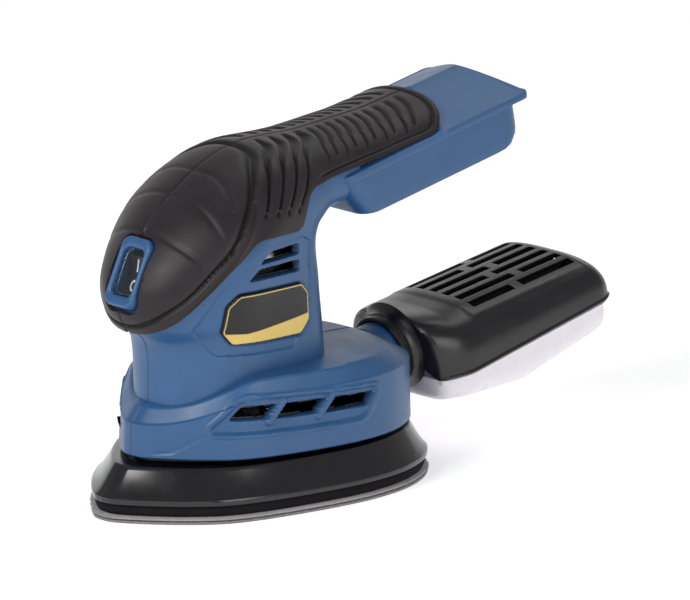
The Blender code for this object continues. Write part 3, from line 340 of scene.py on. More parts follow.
def add(tree, kind, inputs=(), **settings):
    """Add a node, with its settings, and its inputs as numbers or as the sockets they come from."""
    node = tree.nodes.new(kind)
    for key, value in settings.items():
        setattr(node, key, value)
    for key, value in dict(inputs).items():
        if isinstance(value, bpy.types.NodeSocket):
            tree.links.new(value, node.inputs[key])
        else:
            node.inputs[key].default_value = value
    return node


def per_mm(size):
    """Scale of a noise or cell pattern on Object coordinates whose grains are so many mm wide."""
    return 1.0 / (size * MM)


def finish_of(name, colour, tint, rough, grain, depth, cloud=14.0, spread=0.06, cells=False,
              mark=None, mark_colour=None, shader=(), stretch=(1, 1, 1)):
    """A material with grain, cloudy colour and uneven gloss.

    The colour mixes towards the tint by a cloud pattern so many mm wide, the roughness varies
    by the same clouds, and the grain, in mm, is a height that the bump node turns to relief of
    the given depth in mm. A mark on the points mixes in its own colour.
    """
    material = bpy.data.materials.new(name)
    material.use_nodes = True
    tree = material.node_tree
    surface = tree.nodes["Principled BSDF"]
    place = add(tree, "ShaderNodeTexCoord").outputs["Object"]
    place = add(tree, "ShaderNodeMapping", {"Vector": place, "Scale": stretch}).outputs[0]
    clouds = add(tree, "ShaderNodeTexNoise", {"Vector": place, "Scale": per_mm(cloud),
                                              "Detail": 3.0, "Roughness": 0.6}).outputs["Fac"]
    if cells:
        relief = add(tree, "ShaderNodeTexVoronoi", {"Vector": place, "Scale": per_mm(grain)})
        relief = relief.outputs["Distance"]
    else:
        relief = add(tree, "ShaderNodeTexNoise", {"Vector": place, "Scale": per_mm(grain),
                                                  "Detail": 4.0, "Roughness": 0.55})
        relief = relief.outputs["Fac"]
    share = add(tree, "ShaderNodeMapRange", {"Value": clouds, "From Min": 0.3, "From Max": 0.7})
    speckle = add(tree, "ShaderNodeMath", {0: share.outputs[0], 1: relief}, operation="MULTIPLY")
    colours = add(tree, "ShaderNodeMix", {0: speckle.outputs[0], 6: linear(colour),
                                          7: linear(tint)}, data_type="RGBA").outputs[2]
    if mark:
        painted = add(tree, "ShaderNodeAttribute", attribute_name=mark).outputs["Fac"]
        colours = add(tree, "ShaderNodeMix", {0: painted, 6: colours, 7: linear(mark_colour)},
                      data_type="RGBA").outputs[2]
    gloss = add(tree, "ShaderNodeMapRange", {"Value": clouds, "From Min": 0.3, "From Max": 0.7,
                                             "To Min": rough - spread, "To Max": rough + spread})
    bump = add(tree, "ShaderNodeBump", {"Height": relief, "Distance": depth * MM,
                                        "Strength": 1.0})
    tree.links.new(colours, surface.inputs["Base Color"])
    tree.links.new(gloss.outputs[0], surface.inputs["Roughness"])
    tree.links.new(bump.outputs[0], surface.inputs["Normal"])
    for socket, value in dict(shader).items():
        surface.inputs[socket].default_value = value
    return material


def make_materials(blue, grip):
    """Every finish on the tool, by its plain name.

    Grain sizes are what each process leaves: spark-eroded moulds about 0.3 mm, polished moulds
    a faint 2 mm wave, closed-cell foam 0.6 mm, P80 grit 0.2 mm drawn at 0.5 mm to show, and
    velour about 0.4 mm.
    """
    made = {
        # Glass-filled nylon from a spark-eroded mould: a satin sheen over a fine even grain.
        "moulded_nylon_blue": finish_of(
            "moulded_nylon_blue", blue, "2C5A8A", 0.40, 0.35, 0.030, mark="shade",
            mark_colour="04070B", shader={"IOR": 1.53, "Specular IOR Level": 0.5}),
        # Thermoplastic elastomer, overmoulded: soft and nearly black, with a broad dull shine.
        "overmoulded_tpe": finish_of(
            "overmoulded_tpe", grip, "2A2126", 0.45, 0.45, 0.035, mark="shade",
            mark_colour="060405", shader={"IOR": 1.5, "Specular IOR Level": 0.32,
                                          "Sheen Weight": 0.04, "Sheen Roughness": 0.5}),
        # ABS from a polished mould: deep black with clear highlights and a faint wave.
        "polished_abs_black": finish_of(
            "polished_abs_black", "0B090C", "120F13", 0.20, 2.2, 0.012, spread=0.05,
            mark="shade", mark_colour="060506",
            shader={"IOR": 1.54, "Coat Weight": 0.15, "Coat Roughness": 0.12}),
        # ABS from an etched mould: black with a low sheen.
        "etched_abs_black": finish_of(
            "etched_abs_black", "0F0C0F", "181418", 0.30, 0.4, 0.025, mark="shade",
            mark_colour="050405", shader={"IOR": 1.54}),
        # The same ABS with a pad-printed white mark.
        "painted_abs_black": finish_of(
            "painted_abs_black", "17141A", "242026", 0.30, 0.6, 0.010, mark="paint",
            mark_colour="E9EBEE", shader={"IOR": 1.54}),
        # Milky polypropylene: light passes into it and comes out soft and white.
        "milky_polypropylene": finish_of(
            "milky_polypropylene", "E9E3EA", "DAD3DE", 0.30, 1.2, 0.010, mark="shade",
            mark_colour="BDB4C0",
            shader={"IOR": 1.49, "Subsurface Weight": 0.35, "Subsurface Scale": 0.004,
                    "Subsurface Radius": (1.0, 0.95, 1.0)}),
        # Clear soft PVC: glassy, with strong highlights and nothing of its own colour.
        "clear_pvc": finish_of(
            "clear_pvc", "FFFFFF", "FFFFFF", 0.04, 3.0, 0.01, spread=0.01,
            shader={"IOR": 1.33, "Transmission Weight": 1.0}),
        # Screen-printed polycarbonate plate: gloss black with a metallic gold band.
        "printed_polycarbonate": finish_of(
            "printed_polycarbonate", "080304", "0E0607", 0.26, 0.5, 0.006, mark="gold",
            mark_colour="D3B662", shader={"IOR": 1.58, "Specular IOR Level": 0.35}),
        # Turned and zinc-plated steel: fine rings of tool marks.
        "plated_steel": finish_of(
            "plated_steel", "B9BABD", "9FA1A6", 0.28, 0.5, 0.010, cloud=5.0,
            shader={"Metallic": 1.0}, stretch=(1, 1, 6)),
        # Extruded aluminium: paler, with drawn lines.
        "extruded_aluminium": finish_of(
            "extruded_aluminium", "C9CBCE", "B2B5BA", 0.33, 0.4, 0.010, cloud=4.0,
            shader={"Metallic": 1.0}, stretch=(1, 8, 1)),
        # Stamped brass: warm, a little tarnished in patches.
        "stamped_brass": finish_of(
            "stamped_brass", "D6B25E", "A07C38", 0.30, 0.6, 0.008, cloud=3.0,
            shader={"Metallic": 1.0}),
        # Enamelled copper wire: deep orange under a clear varnish, in close turns.
        "enamelled_copper": finish_of(
            "enamelled_copper", "B5622C", "7E3A16", 0.30, 0.7, 0.08, cloud=2.5,
            shader={"Metallic": 0.8, "Coat Weight": 0.4}, stretch=(1, 1, 0.25)),
        # Closed-cell foam: matt black with tiny open pits.
        "closed_cell_foam": finish_of(
            "closed_cell_foam", "141215", "211E22", 0.90, 0.7, 0.10, cloud=5.0, cells=True,
            shader={"IOR": 1.4, "Specular IOR Level": 0.2}),
        # Hook-and-loop velour: grey nylon pile that scatters light at its edges.
        "hook_velour": finish_of(
            "hook_velour", "A5A1A5", "7C787D", 0.92, 0.5, 0.30, cloud=1.6,
            shader={"Sheen Weight": 0.25, "Sheen Roughness": 0.4}),
        # Coated aluminium-oxide grit on paper: warm grey, coarse and dull with small glints.
        "alumina_grit": finish_of(
            "alumina_grit", "85807F", "5B5656", 0.72, 0.5, 0.18, cloud=1.4, cells=True),
        # Moulded natural rubber: dull black.
        "moulded_rubber": finish_of(
            "moulded_rubber", "1D1B1D", "2B282B", 0.62, 0.6, 0.03),
        # Pleated filter paper: cream, with a fibrous tooth.
        "filter_paper": finish_of(
            "filter_paper", "CFC8B4", "B5AD98", 0.90, 0.6, 0.08, cloud=2.0),
        # Solder mask over fibreglass: glossy green.
        "solder_mask": finish_of(
            "solder_mask", "12502A", "0C3B1E", 0.25, 0.8, 0.010, cloud=3.0),
        # PVC lead insulation.
        "red_pvc": finish_of("red_pvc", "A01818", "7A1010", 0.35, 0.8, 0.010),
        "black_pvc": finish_of("black_pvc", "1A191A", "262526", 0.35, 0.8, 0.010),
        # A lit paper sweep: pale, matt and bright enough to throw light up from below.
        "paper_sweep": finish_of("paper_sweep", "F6F6F6", "F3F3F3", 0.85, 3.0, 0.02, cloud=400.0,
            shader={"Emission Color": (1.0, 1.0, 1.0, 1.0), "Emission Strength": 0.42}),
    }
    return made


CARRIED = {
    "plated_steel": ("steel", ("base_screw", "column_screw_lower", "column_screw_upper",
                               "neck_screw", "handle_screw", "rear_screw", "motor_can",
                               "upper_bearing", "lower_bearing", "motor_plate", "motor_shaft",
                               "counterweight", "platen_bearing", "post_screw_front_left",
                               "post_screw_front_right", "post_screw_rear_left",
                               "post_screw_rear_right")),
    "extruded_aluminium": ("aluminium", ("heat_sink",)),
    "stamped_brass": ("brass", ("contact_plus", "contact_signal", "contact_minus", "commutator")),
    "enamelled_copper": ("copper", ("left_brush", "right_brush", "armature")),
    "etched_abs_black": ("black_plastic", ("motor_end_cap", "fan_baffle", "terminal_block",
                                           "switch_body", "fan", "filter_frame")),
    "solder_mask": ("circuit_board", ("circuit_board",)),
    "red_pvc": ("red_lead", ("battery_lead_plus", "motor_lead_plus")),
    "black_pvc": ("black_lead", ("battery_lead_minus", "motor_lead_minus")),
    "moulded_rubber": ("post_rubber", ("post_front_left", "post_front_right", "post_rear_left",
                                       "post_rear_right")),
    "filter_paper": ("filter_paper", ("filter_paper",)),
}


# ================================================================ head, column and handle
def body_surface(places, angles, offset):
    """Points of the head, column and handle.

    Each row is a superellipse in polar form: the radius at an angle is
    (|cos|^power + |sin|^power)^(-1/power), stretched to the row's reach and half width, and its
    outer and inner halves have powers of their own. The head is widened by a bell.
    """
    row = spline(BODY_ROWS, places)
    inner, outer = row[:, 0:2], row[:, 2:4]
    reach = np.linalg.norm(outer - inner, axis=1)
    axis = (outer - inner) / reach[:, None]
    c, s = np.cos(angles)[None, :], np.sin(angles)[None, :]
    power = np.where(c > 0, row[:, 5, None], row[:, 6, None])
    radius = (np.abs(c) ** power + np.abs(s) ** power) ** (-1 / power)
    along = (reach[:, None] / 2 + offset) * radius * c
    wide = (row[:, 4, None] + offset) * radius * s
    flat = ((inner + outer) / 2)[:, None, :] + along[..., None] * axis[:, None, :]
    away = ((flat - np.array(HEAD_BULGE_AT)) ** 2).sum(axis=-1)
    wide = wide * (1 + HEAD_BULGE / row[:, 4, None] * np.exp(-away / (2 * HEAD_BULGE_SPREAD ** 2)))
    return np.stack([wide, flat[..., 0], flat[..., 1]], axis=-1)


def flat_seam(n):
    """Normals with no sideways part along a half's two seam edges."""
    n = n.copy()
    n[:, (0, -1), 0] = 0
    return n / np.linalg.norm(n, axis=2, keepdims=True)


def switch_room(p, grow):
    """Distance inside the switch frame's outline, for points near the front of the head."""
    y, z, pitch = SWITCH
    c, s = math.cos(math.radians(pitch)), math.sin(math.radians(pitch))
    up = (p[..., 1] - y) * c + (p[..., 2] - z) * s
    out = -(p[..., 1] - y) * s + (p[..., 2] - z) * c
    box_x, box_y = np.abs(p[..., 0]) - 7.5 - grow + 4, np.abs(up) - 13 - grow + 4
    corner = np.hypot(np.maximum(box_x, 0), np.maximum(box_y, 0)) - 4
    near = -np.maximum(corner, np.maximum(box_x, box_y) - 4)
    return np.where(out > -12, near, -50.0)


def groove(distance, width, depth):
    """A rounded channel: depth times exp(-(distance / width)^2), taken away."""
    return -depth * np.exp(-(distance / width) ** 2)


def column_half(side, material):
    """One blue half of the column, with its sunk panel, slots, label recess and seam.

    The panel, slots and recess are steps taken off along the normals, and the faces at the
    bottom of each slot are left out, so that the slots are open.
    """
    places = np.linspace(0.28, 15.0, 325)
    turn = np.linspace(0.0, math.pi, 210)
    p = body_surface(places, turn, 0.0)
    n = flat_seam(outward(p))
    y, z = p[..., 1], p[..., 2]
    lateral = smooth(np.abs(n[..., 0]), 0.25, 0.5)
    panel = smooth(inside(y, z, softened(COLUMN_PANEL, 1.2)), -0.35, 0.35)
    d = -0.9 * panel * lateral
    shade = np.zeros(y.shape)
    open_here = np.zeros(y.shape, bool)
    for outline in COLUMN_VENTS:
        within = inside(y, z, softened(outline, 0.8))
        d -= 2.4 * smooth(within, -0.3, 0.3) * lateral
        open_here |= (within > 0.45) & (lateral > 0.5)
        shade = np.maximum(shade, smooth(within, -0.2, 0.3) * lateral)
    label = inside(y, z, softened(LABEL, 0.7))
    d -= 0.5 * smooth(label, -0.9, -0.3) * lateral
    d += groove(p[..., 0], 0.35, 0.5)
    if side < 0:
        for at_y, at_z in SCREWS[1:4]:
            hole = 3.3 - np.hypot(y - at_y, z - at_z)
            d -= 3.0 * smooth(hole, -0.3, 0.3) * lateral
            shade = np.maximum(shade, smooth(hole, -0.2, 0.4) * lateral)
    pocket = smooth(switch_room(p, 0.1), -0.3, 0.3)
    d -= 6.0 * pocket
    p = p + d[..., None] * n
    p[..., 0] *= side
    name = "left_column" if side > 0 else "right_column"
    node = "left_housing" if side > 0 else "right_housing"
    return piece(name, p, "housing_body", material, stands_for=[node],
                 keep=~(open_here[:-1, :-1] & open_here[1:, 1:]), marks={"shade": shade})


def grip_half(side, sizes, material):
    """One soft half of the grip.

    It stands proud of the blue surface inside its edge, and sinks under it outside, so that the
    edge is a clean rounded step. Its grooves are channels along lines drawn on the side: long ones
    over the neck that end in dots, and short ones across the handle.
    """
    places = np.concatenate([np.linspace(2.6, 13.0, 280, endpoint=False),
                             np.linspace(13.0, 19.0, 330)])
    turn = np.linspace(0.0, math.pi, 190)
    p = body_surface(places, turn, 0.0)
    n = flat_seam(outward(p))
    proud = sizes.grip_proud / MM
    y, z = p[..., 1] + proud * n[..., 1], p[..., 2] + proud * n[..., 2]
    edge = inside(y, z, softened(GRIP_EDGE, 2.0))
    rise = smooth(edge, -0.6, 0.7)
    d = -1.6 + (proud + 1.6) * rise
    deep = sizes.groove_depth / MM
    cut = np.zeros(y.shape)
    off_seam = smooth(np.abs(p[..., 0]), 2.0, 4.5)
    first, last = np.array(NECK_FIRST), np.array(NECK_LAST)
    for i in range(NECK_COUNT):
        line = first + (last - first) * i / (NECK_COUNT - 1)
        bent = spline(line, np.linspace(0, 3.55, 24))
        cut = np.minimum(cut, groove(line_distance(y, z, bent), 0.6, deep * 1.2))
        dot = spline(line, np.linspace(3.8, 4, 3))
        cut = np.minimum(cut, groove(line_distance(y, z, dot), 0.7, deep))
    first, last = np.array(HANDLE_FIRST), np.array(HANDLE_LAST)
    for i in range(HANDLE_COUNT):
        line = first + (last - first) * i / (HANDLE_COUNT - 1)
        line[2] += (0.0, 1.6 * (i % 2))
        cut = np.minimum(cut, groove(line_distance(y, z, line), 0.42, deep * 0.75))
    cut *= off_seam
    cut = np.minimum(cut, groove(line_distance(y, z, spline(MASK, np.linspace(0, 9, 50))), 0.8,
                                 deep * 1.3))
    cut = np.minimum(cut, groove(line_distance(y, z, spline(MASK_RIM, np.linspace(0, 4, 24))),
                                 0.9, deep * 0.45))
    for line in DOME_GROOVES:
        cut = np.minimum(cut, groove(line_distance(y, z, line), 0.9, deep * 0.3))
    border = np.abs(edge - 2.6)
    back = smooth(y, 12.0, 18.0)
    cut = np.minimum(cut, groove(border, 0.6, deep * 0.8) * back)
    d += cut * smooth(edge, 0.5, 1.6)
    d += groove(p[..., 0], 0.4, 0.6) * rise
    pocket = smooth(switch_room(p, 0.4), -0.3, 0.3)
    d -= 8.0 * pocket
    if side < 0:
        hole = 3.3 - np.hypot(y - SCREWS[4][0], z - SCREWS[4][1])
        d -= 3.0 * smooth(hole, -0.3, 0.3) * smooth(np.abs(n[..., 0]), 0.3, 0.6)
    shade = smooth(-cut, 0.15, 0.75)
    keep = (edge > -2.2)
    keep = keep[:-1, :-1] | keep[1:, :-1] | keep[:-1, 1:] | keep[1:, 1:]
    p = p + d[..., None] * n
    p[..., 0] *= side
    name = "left_soft_grip" if side > 0 else "right_soft_grip"
    node = "left_grip" if side > 0 else "right_grip"
    return piece(name, p, "housing_body", material, keep=keep, stands_for=[node],
                 marks={"shade": shade})


def label_plate(side, material):
    """The label: the column's surface over a small patch, raised inside the label's outline."""
    places = np.linspace(2.3, 6.8, 160)
    turn = np.linspace(0.28 * math.pi, 0.9 * math.pi, 260)
    p = body_surface(places, turn, 0.0)
    n = outward(p)
    y, z = p[..., 1], p[..., 2]
    within = inside(y, z, softened(LABEL, 0.7))
    d = -1.5 + (1.5 - 0.25) * smooth(within, -0.25, 0.25)
    wave = 66.4 + 0.09 * np.abs(y + 21.0)
    gold = smooth(wave - z, -0.15, 0.15) * smooth(within, 0.7, 0.9)
    rim = smooth(within, 0.5, 0.7) * (1 - smooth(within, 0.9, 1.1))
    keep = within > -0.8
    keep = keep[:-1, :-1] | keep[1:, :-1] | keep[:-1, 1:] | keep[1:, 1:]
    p = p + d[..., None] * n
    p[..., 0] *= side
    name = "left_name_plate" if side > 0 else "right_name_plate"
    node = "left_label" if side > 0 else "right_label"
    return piece(name, p, "housing_body", material, keep=keep, stands_for=[node],
                 marks={"gold": np.maximum(gold, rim)})


# ================================================================ base
def skirt_ring(inset, count, nose_inset=None, rear_inset=None):
    """The skirt's outline drawn in by an inset."""
    nose, rear, half = SKIRT
    nose_in = 1.2 * inset if nose_inset is None else nose_inset
    rear_in = inset if rear_inset is None else rear_inset
    return iron(nose + nose_in, rear - rear_in, half - inset, count)


def base_shell(sizes, material):
    """The skirt with its belt line, ledge and crowned lid.

    Rings of the pointed outline, each with an inset and a height, are joined by straight walls.
    The walls are divided finely enough for the panel, its windows and ribs to be pushed in.
    """
    count = 260
    y = skirt_ring(0.6, count)[1]
    belt = BELT_LOW + (BELT_HIGH - BELT_LOW) * smooth(y, BELT_FROM, BELT_TO)
    crown = sizes.lid_crown / MM
    rings = [(2.4, 2.88, 2.4, 30.0 + 0 * belt, 1), (2.4, 2.88, 2.4, SKIRT_FOOT + 0.4 + 0 * belt, 4),
             (1.9, 2.3, 1.9, SKIRT_FOOT + 0 * belt, 2), (0.5, 0.6, 0.5, SKIRT_FOOT + 0 * belt, 2),
             (0.0, 0.0, 0.0, SKIRT_FOOT + 0.5 + 0 * belt, 54), (0.55, 0.66, 0.55, belt - 0.5, 3),
             (1.2, 1.5, 1.3, belt + 0.15, 12), (3.1, 5.5, 10.5, belt + LEDGE_RISE - 0.7, 4),
             (3.8, 6.6, 12.6, belt + LEDGE_RISE, 3)]
    grid = []
    for (a, a_nose, a_rear, a_z, steps), (b, b_nose, b_rear, b_z, _) in zip(rings[:-1], rings[1:]):
        ax, ay = skirt_ring(a, count, a_nose, a_rear)
        bx, by = skirt_ring(b, count, b_nose, b_rear)
        t = np.arange(steps)[:, None] / steps
        grid.append(np.stack([ax + (bx - ax) * t, ay + (by - ay) * t, a_z + (b_z - a_z) * t],
                             axis=-1))
    top_x, top_y = skirt_ring(3.8, count, 6.6, 12.6)
    top_z = rings[-1][3]
    share = np.linspace(1.0, 0.0, 26)[:, None]
    level = top_z.mean()
    high = top_z * share + level * (1 - share) + crown * (1 - share ** 2)
    grid.append(np.stack([top_x * share, top_y * share, np.maximum(high, top_z * 1.0)], axis=-1))
    p = np.concatenate(grid)
    n = outward(p, wraps=True)
    y, z = p[..., 1], p[..., 2]
    lateral = smooth(np.abs(n[..., 0]), 0.35, 0.6) * smooth(z, 22.5, 24.0)
    panel_in = inside(y, z, softened(SIDE_PANEL, 2.0))
    d = -1.1 * smooth(panel_in, -0.5, 0.5) * lateral
    d += 0.5 * smooth(-np.abs(panel_in + 1.3), -0.9, -0.3) * lateral
    shade = np.zeros(y.shape)
    open_here = np.zeros(y.shape, bool)
    from_rib = np.minimum(*(line_distance(y, z, rib) for rib in SIDE_RIBS))
    d += 1.3 * smooth(1.2 - from_rib, -0.3, 0.3) * lateral
    for outline in SIDE_WINDOWS:
        within = np.minimum(inside(y, z, softened(outline, 0.6)), from_rib - 1.6)
        d -= 2.6 * smooth(within, -0.3, 0.3) * lateral
        shade = np.maximum(shade, smooth(within, -0.1, 0.4) * lateral)
        open_here |= (within > 0.45) & (lateral > 0.5)
    crease = line_distance(y, z, ((-37.5, 31.5), (-47.0, 24.0), (-60.0, 20.0)))
    d += groove(crease, 0.9, 0.45) * lateral
    d += groove(p[..., 0], 0.35, 0.5) * smooth(z, 21.0, 22.5)
    right = p[..., 0] < 0
    for at_y, at_z in (SCREWS[0], SCREWS[5]):
        hole = 3.3 - np.hypot(y - at_y, z - at_z)
        d -= 3.0 * smooth(hole, -0.3, 0.3) * lateral * right
        shade = np.maximum(shade, smooth(hole, -0.2, 0.4) * lateral * right)
    p = p + d[..., None] * n
    opened = open_here[:-1] & np.roll(open_here, -1, axis=1)[1:]
    return piece("base_shell", p, "housing_body", material, wraps=True,
                 keep=~opened, marks={"shade": shade})


# ================================================================ tail
def tail_roof(material):
    """The hipped cap over the handle's end.

    Its rim is a rounded rectangle, and its slopes run from the rim to a short ridge: the height
    is rise * (1 - s^1.2), where s is the share of the way from the ridge to the rim.
    """
    count = 220
    half, front, rear, eave, ridge = 27.3, 42.0, 88.0, 3.4, 12.8
    rings = []
    for inset, z in ((5.0, 1.3), (0.5, 1.3), (0.1, 1.5), (0.0, 1.9), (0.0, 3.5), (0.15, 3.9)):
        x, y = rounded(half - inset, (rear - front) / 2 - inset, 3.5, count)
        rings.append(np.stack([x, y + (front + rear) / 2, z + 0 * x], axis=-1))
    x, y = rings[-1][:, 0], rings[-1][:, 1]
    share = np.concatenate([[1.0, 0.985], np.linspace(0.95, 0.0, 30)])[:, None]
    to_y = np.clip(y, 54.0, 77.5)
    rise = eave + 0.2 + (ridge - eave) * (1 - share ** 1.2)
    slope = np.stack([x * share, to_y + (y - to_y) * share, rise + 0 * x], axis=-1)
    p = placed(np.concatenate([np.array(rings), slope]), TAIL)
    return piece("tail_roof", p, "housing_body", material, wraps=True,
                 marks={"shade": np.zeros(p.shape[:2])}, sharp=32.0)


def battery_foot(material):
    """The foot's upright walls, its rounded lower edge and the battery bay inside, open behind.

    The outline is a rounded rectangle. Each ring has an inset and a height, and behind, between
    the bay's walls, no ring comes below the bay's ceiling.
    """
    count = 420
    rings = []
    for inset, z in ((3.0, 4.0), (0.0, 3.4), (-0.5, 3.1), (-0.6, 2.6), (-0.6, 1.0), (-0.45, 0.7),
                     (0.0, 0.5), (0.0, -4.0), (0.0, -8.0), (0.0, -10.5), (0.0, -13.6),
                     (0.3, -14.5), (1.0, -15.0), (2.0, -15.0), (2.5, -14.7), (2.6, -14.2),
                     (2.6, -8.0), (2.6, -1.9), (2.9, -1.6), (8.0, -1.6)):
        front = -6.0 - 8.1 * min(z, 0.0) / 15.0
        climb = min(max(0.0, 7.0 - (z + 15.0)) / 7.0, 0.999)
        rear = 83.0 - 7.0 * (1 - math.sqrt(1 - climb ** 2))
        x, y = rounded(26.0 - inset, (rear - front) / 2 - inset, 6.5, count)
        y = y + (front + rear) / 2
        open_here = smooth(23.7 - np.abs(x), -0.25, 0.25) * (y > (front + rear) / 2)
        rings.append(np.stack([x, y, np.maximum(z, -1.9 * open_here - 99 * (1 - open_here))],
                              axis=-1))
    rings += [rings[-1] * [0.5, 1, 1], rings[-1] * [0, 1, 1]]
    p = placed(np.array(rings), TAIL)
    return piece("battery_foot", p, "housing_body", material, wraps=True,
                 marks={"shade": np.zeros(p.shape[:2])}, sharp=35.0)


# ================================================================ switch
def switch_frame(material):
    """The blue frame round the switch: a rounded rectangle with a rounded bead for its rim."""
    rings = []
    for x_in, y_in, z in ((0, 0, -4.5), (0, 0, 1.6), (0.25, 0.25, 2.1), (0.8, 0.8, 2.4),
                          (1.5, 2.6, 2.3), (1.9, 3.6, 1.9), (2.0, 4.0, 1.2), (2.0, 4.0, -4.0)):
        x, y = rounded(7.5 - x_in, 13.0 - y_in, 4.0 - 0.6 * x_in, 160)
        rings.append(np.stack([x, y, z + 0 * x], axis=-1))
    p = placed(np.array(rings), SWITCH)
    return piece("switch_frame", p, "housing_body", material, wraps=True,
                 stands_for=["switch_bezel"], marks={"shade": np.zeros(p.shape[:2])}, sharp=40)


def switch_cover(material):
    """The clear cover over the rocker: a low dome on a rounded rectangle."""
    x, y = rounded(5.4, 8.9, 3.0, 120)
    share = np.concatenate([[1.0, 1.0], np.linspace(0.97, 0.0, 14)])[:, None]
    z = 0.5 + 0.7 * np.sqrt(np.maximum(1 - share ** 4, 0))
    z[0] = -0.5
    p = np.stack([x * share, y * share, z + 0 * x], axis=-1)
    thing = piece("switch_cover", placed(p, SWITCH), "housing_body", material,
                  wraps=True, stands_for=["switch_boot"])
    walled(thing, 0.3)
    return thing


def rocker_cap(material):
    """The rocker: a pillow with a shallow valley across it, and a painted ring and bar."""
    a = np.linspace(-1, 1, 150)[:, None]
    b = np.linspace(-1, 1, 100)[None, :]
    centre = placed(np.array(ROCKER_CENTRE), SWITCH)
    pitch = SWITCH[2] + ROCKER_TILT
    edge = np.maximum(np.abs(a), np.abs(b))
    drop = 3.0 * smooth(edge, 0.9, 1.0)
    x, y = 4.9 * b + 0 * a, 7.9 * a + 0 * b
    z = 0.9 - 0.9 * np.cos(a * math.pi / 2) - drop + 0 * x
    ring = 0.35 - np.abs(np.hypot(x / 0.8, (y + 3.7)) - 1.8)
    bar = 0.35 - np.maximum(np.abs(x), np.abs(y - 3.7) - 1.9)
    paint = smooth(np.maximum(ring, bar), -0.12, 0.12)
    p = placed(np.stack([x, y, z], axis=-1), (centre[1], centre[2], pitch))
    return piece("rocker_cap", p, "rocker_switch", material,
                 stands_for=["rocker"], marks={"paint": paint})


# ================================================================ platen
def sole_ring(inset, z, count=300):
    """The sole's outline drawn in by an inset, as a ring at a height."""
    nose, rear, half = SOLE
    x, y = iron(nose + NOSE_SHARE * inset, rear - inset, half - inset, count)
    return np.stack([x, y, z + 0 * x], axis=-1)


def closed_stack(rows):
    """Rings of (inset, height), closed below and above by rows drawn in to one point."""
    rings = [sole_ring(inset, z) for inset, z in rows]
    middle = np.array([0.0, 8.0, 0.0])
    low, high = rings[0], rings[-1]
    caps = [np.stack([middle[0] + 0 * r[:, 0], middle[1] + 0 * r[:, 0], r[:, 2]], axis=-1)
            for r in (low, high)]
    halfway = [(r + c) / 2 for r, c in zip((low, high), caps)]
    return np.array([caps[0], halfway[0], *rings, halfway[1], caps[1]])


def platen_body(material):
    """The gloss platen: an upright lip, then sides that sweep in as 6 * t^0.8."""
    t = np.linspace(0, 1, 12)
    rows = [(0.5, 6.7), (0.1, 6.85), (0.0, 7.2), (0.0, 8.8), (0.25, 9.2)]
    rows += [(0.25 + 6.0 * a ** 0.8, 9.2 + 9.6 * a) for a in t[1:]]
    rows += [(6.6, 19.15), (7.2, 19.3), (13.2, 19.3), (13.4, 19.5), (13.5, 21.0)]
    return piece("platen_body", closed_stack(rows), "orbiting_platen", material,
                 wraps=True, stands_for=["platen"], sharp=35,
                 marks={"shade": np.zeros((len(rows) + 4, 600))})


def foam_layer(material):
    """The foam between platen and pile, a little barrelled: its edge stands out by 0.5 sin."""
    t = np.linspace(0, 1, 9)
    rows = [(1.4 - 0.5 * math.sin(math.pi * a), 2.8 + 3.6 * a) for a in t]
    thing = piece("foam_layer", closed_stack(rows), "orbiting_platen", material,
                  wraps=True, stands_for=["foam_pad"], sharp=60)
    return thing


def pile_layer(material):
    """The pile: a thin band whose edge is roughened by three crossed sines along the outline."""
    t = np.linspace(0, 1, 7)
    p = closed_stack([(0.6 - 0.9 * math.sin(math.pi * a), 1.3 + 1.2 * a) for a in t])
    at = np.arange(p.shape[1]) * 2 * math.pi / p.shape[1]
    rough = 0.10 * np.sin(97 * at) + 0.08 * np.sin(151 * at + 1.3) + 0.06 * np.sin(263 * at)
    n = sole_ring(-1.0, 0) - sole_ring(0.0, 0)
    p[3:-3] += (rough[:, None] * n)[None]
    return piece("pile_layer", p, "orbiting_platen", material, wraps=True,
                 stands_for=["hook_layer"], sharp=80)


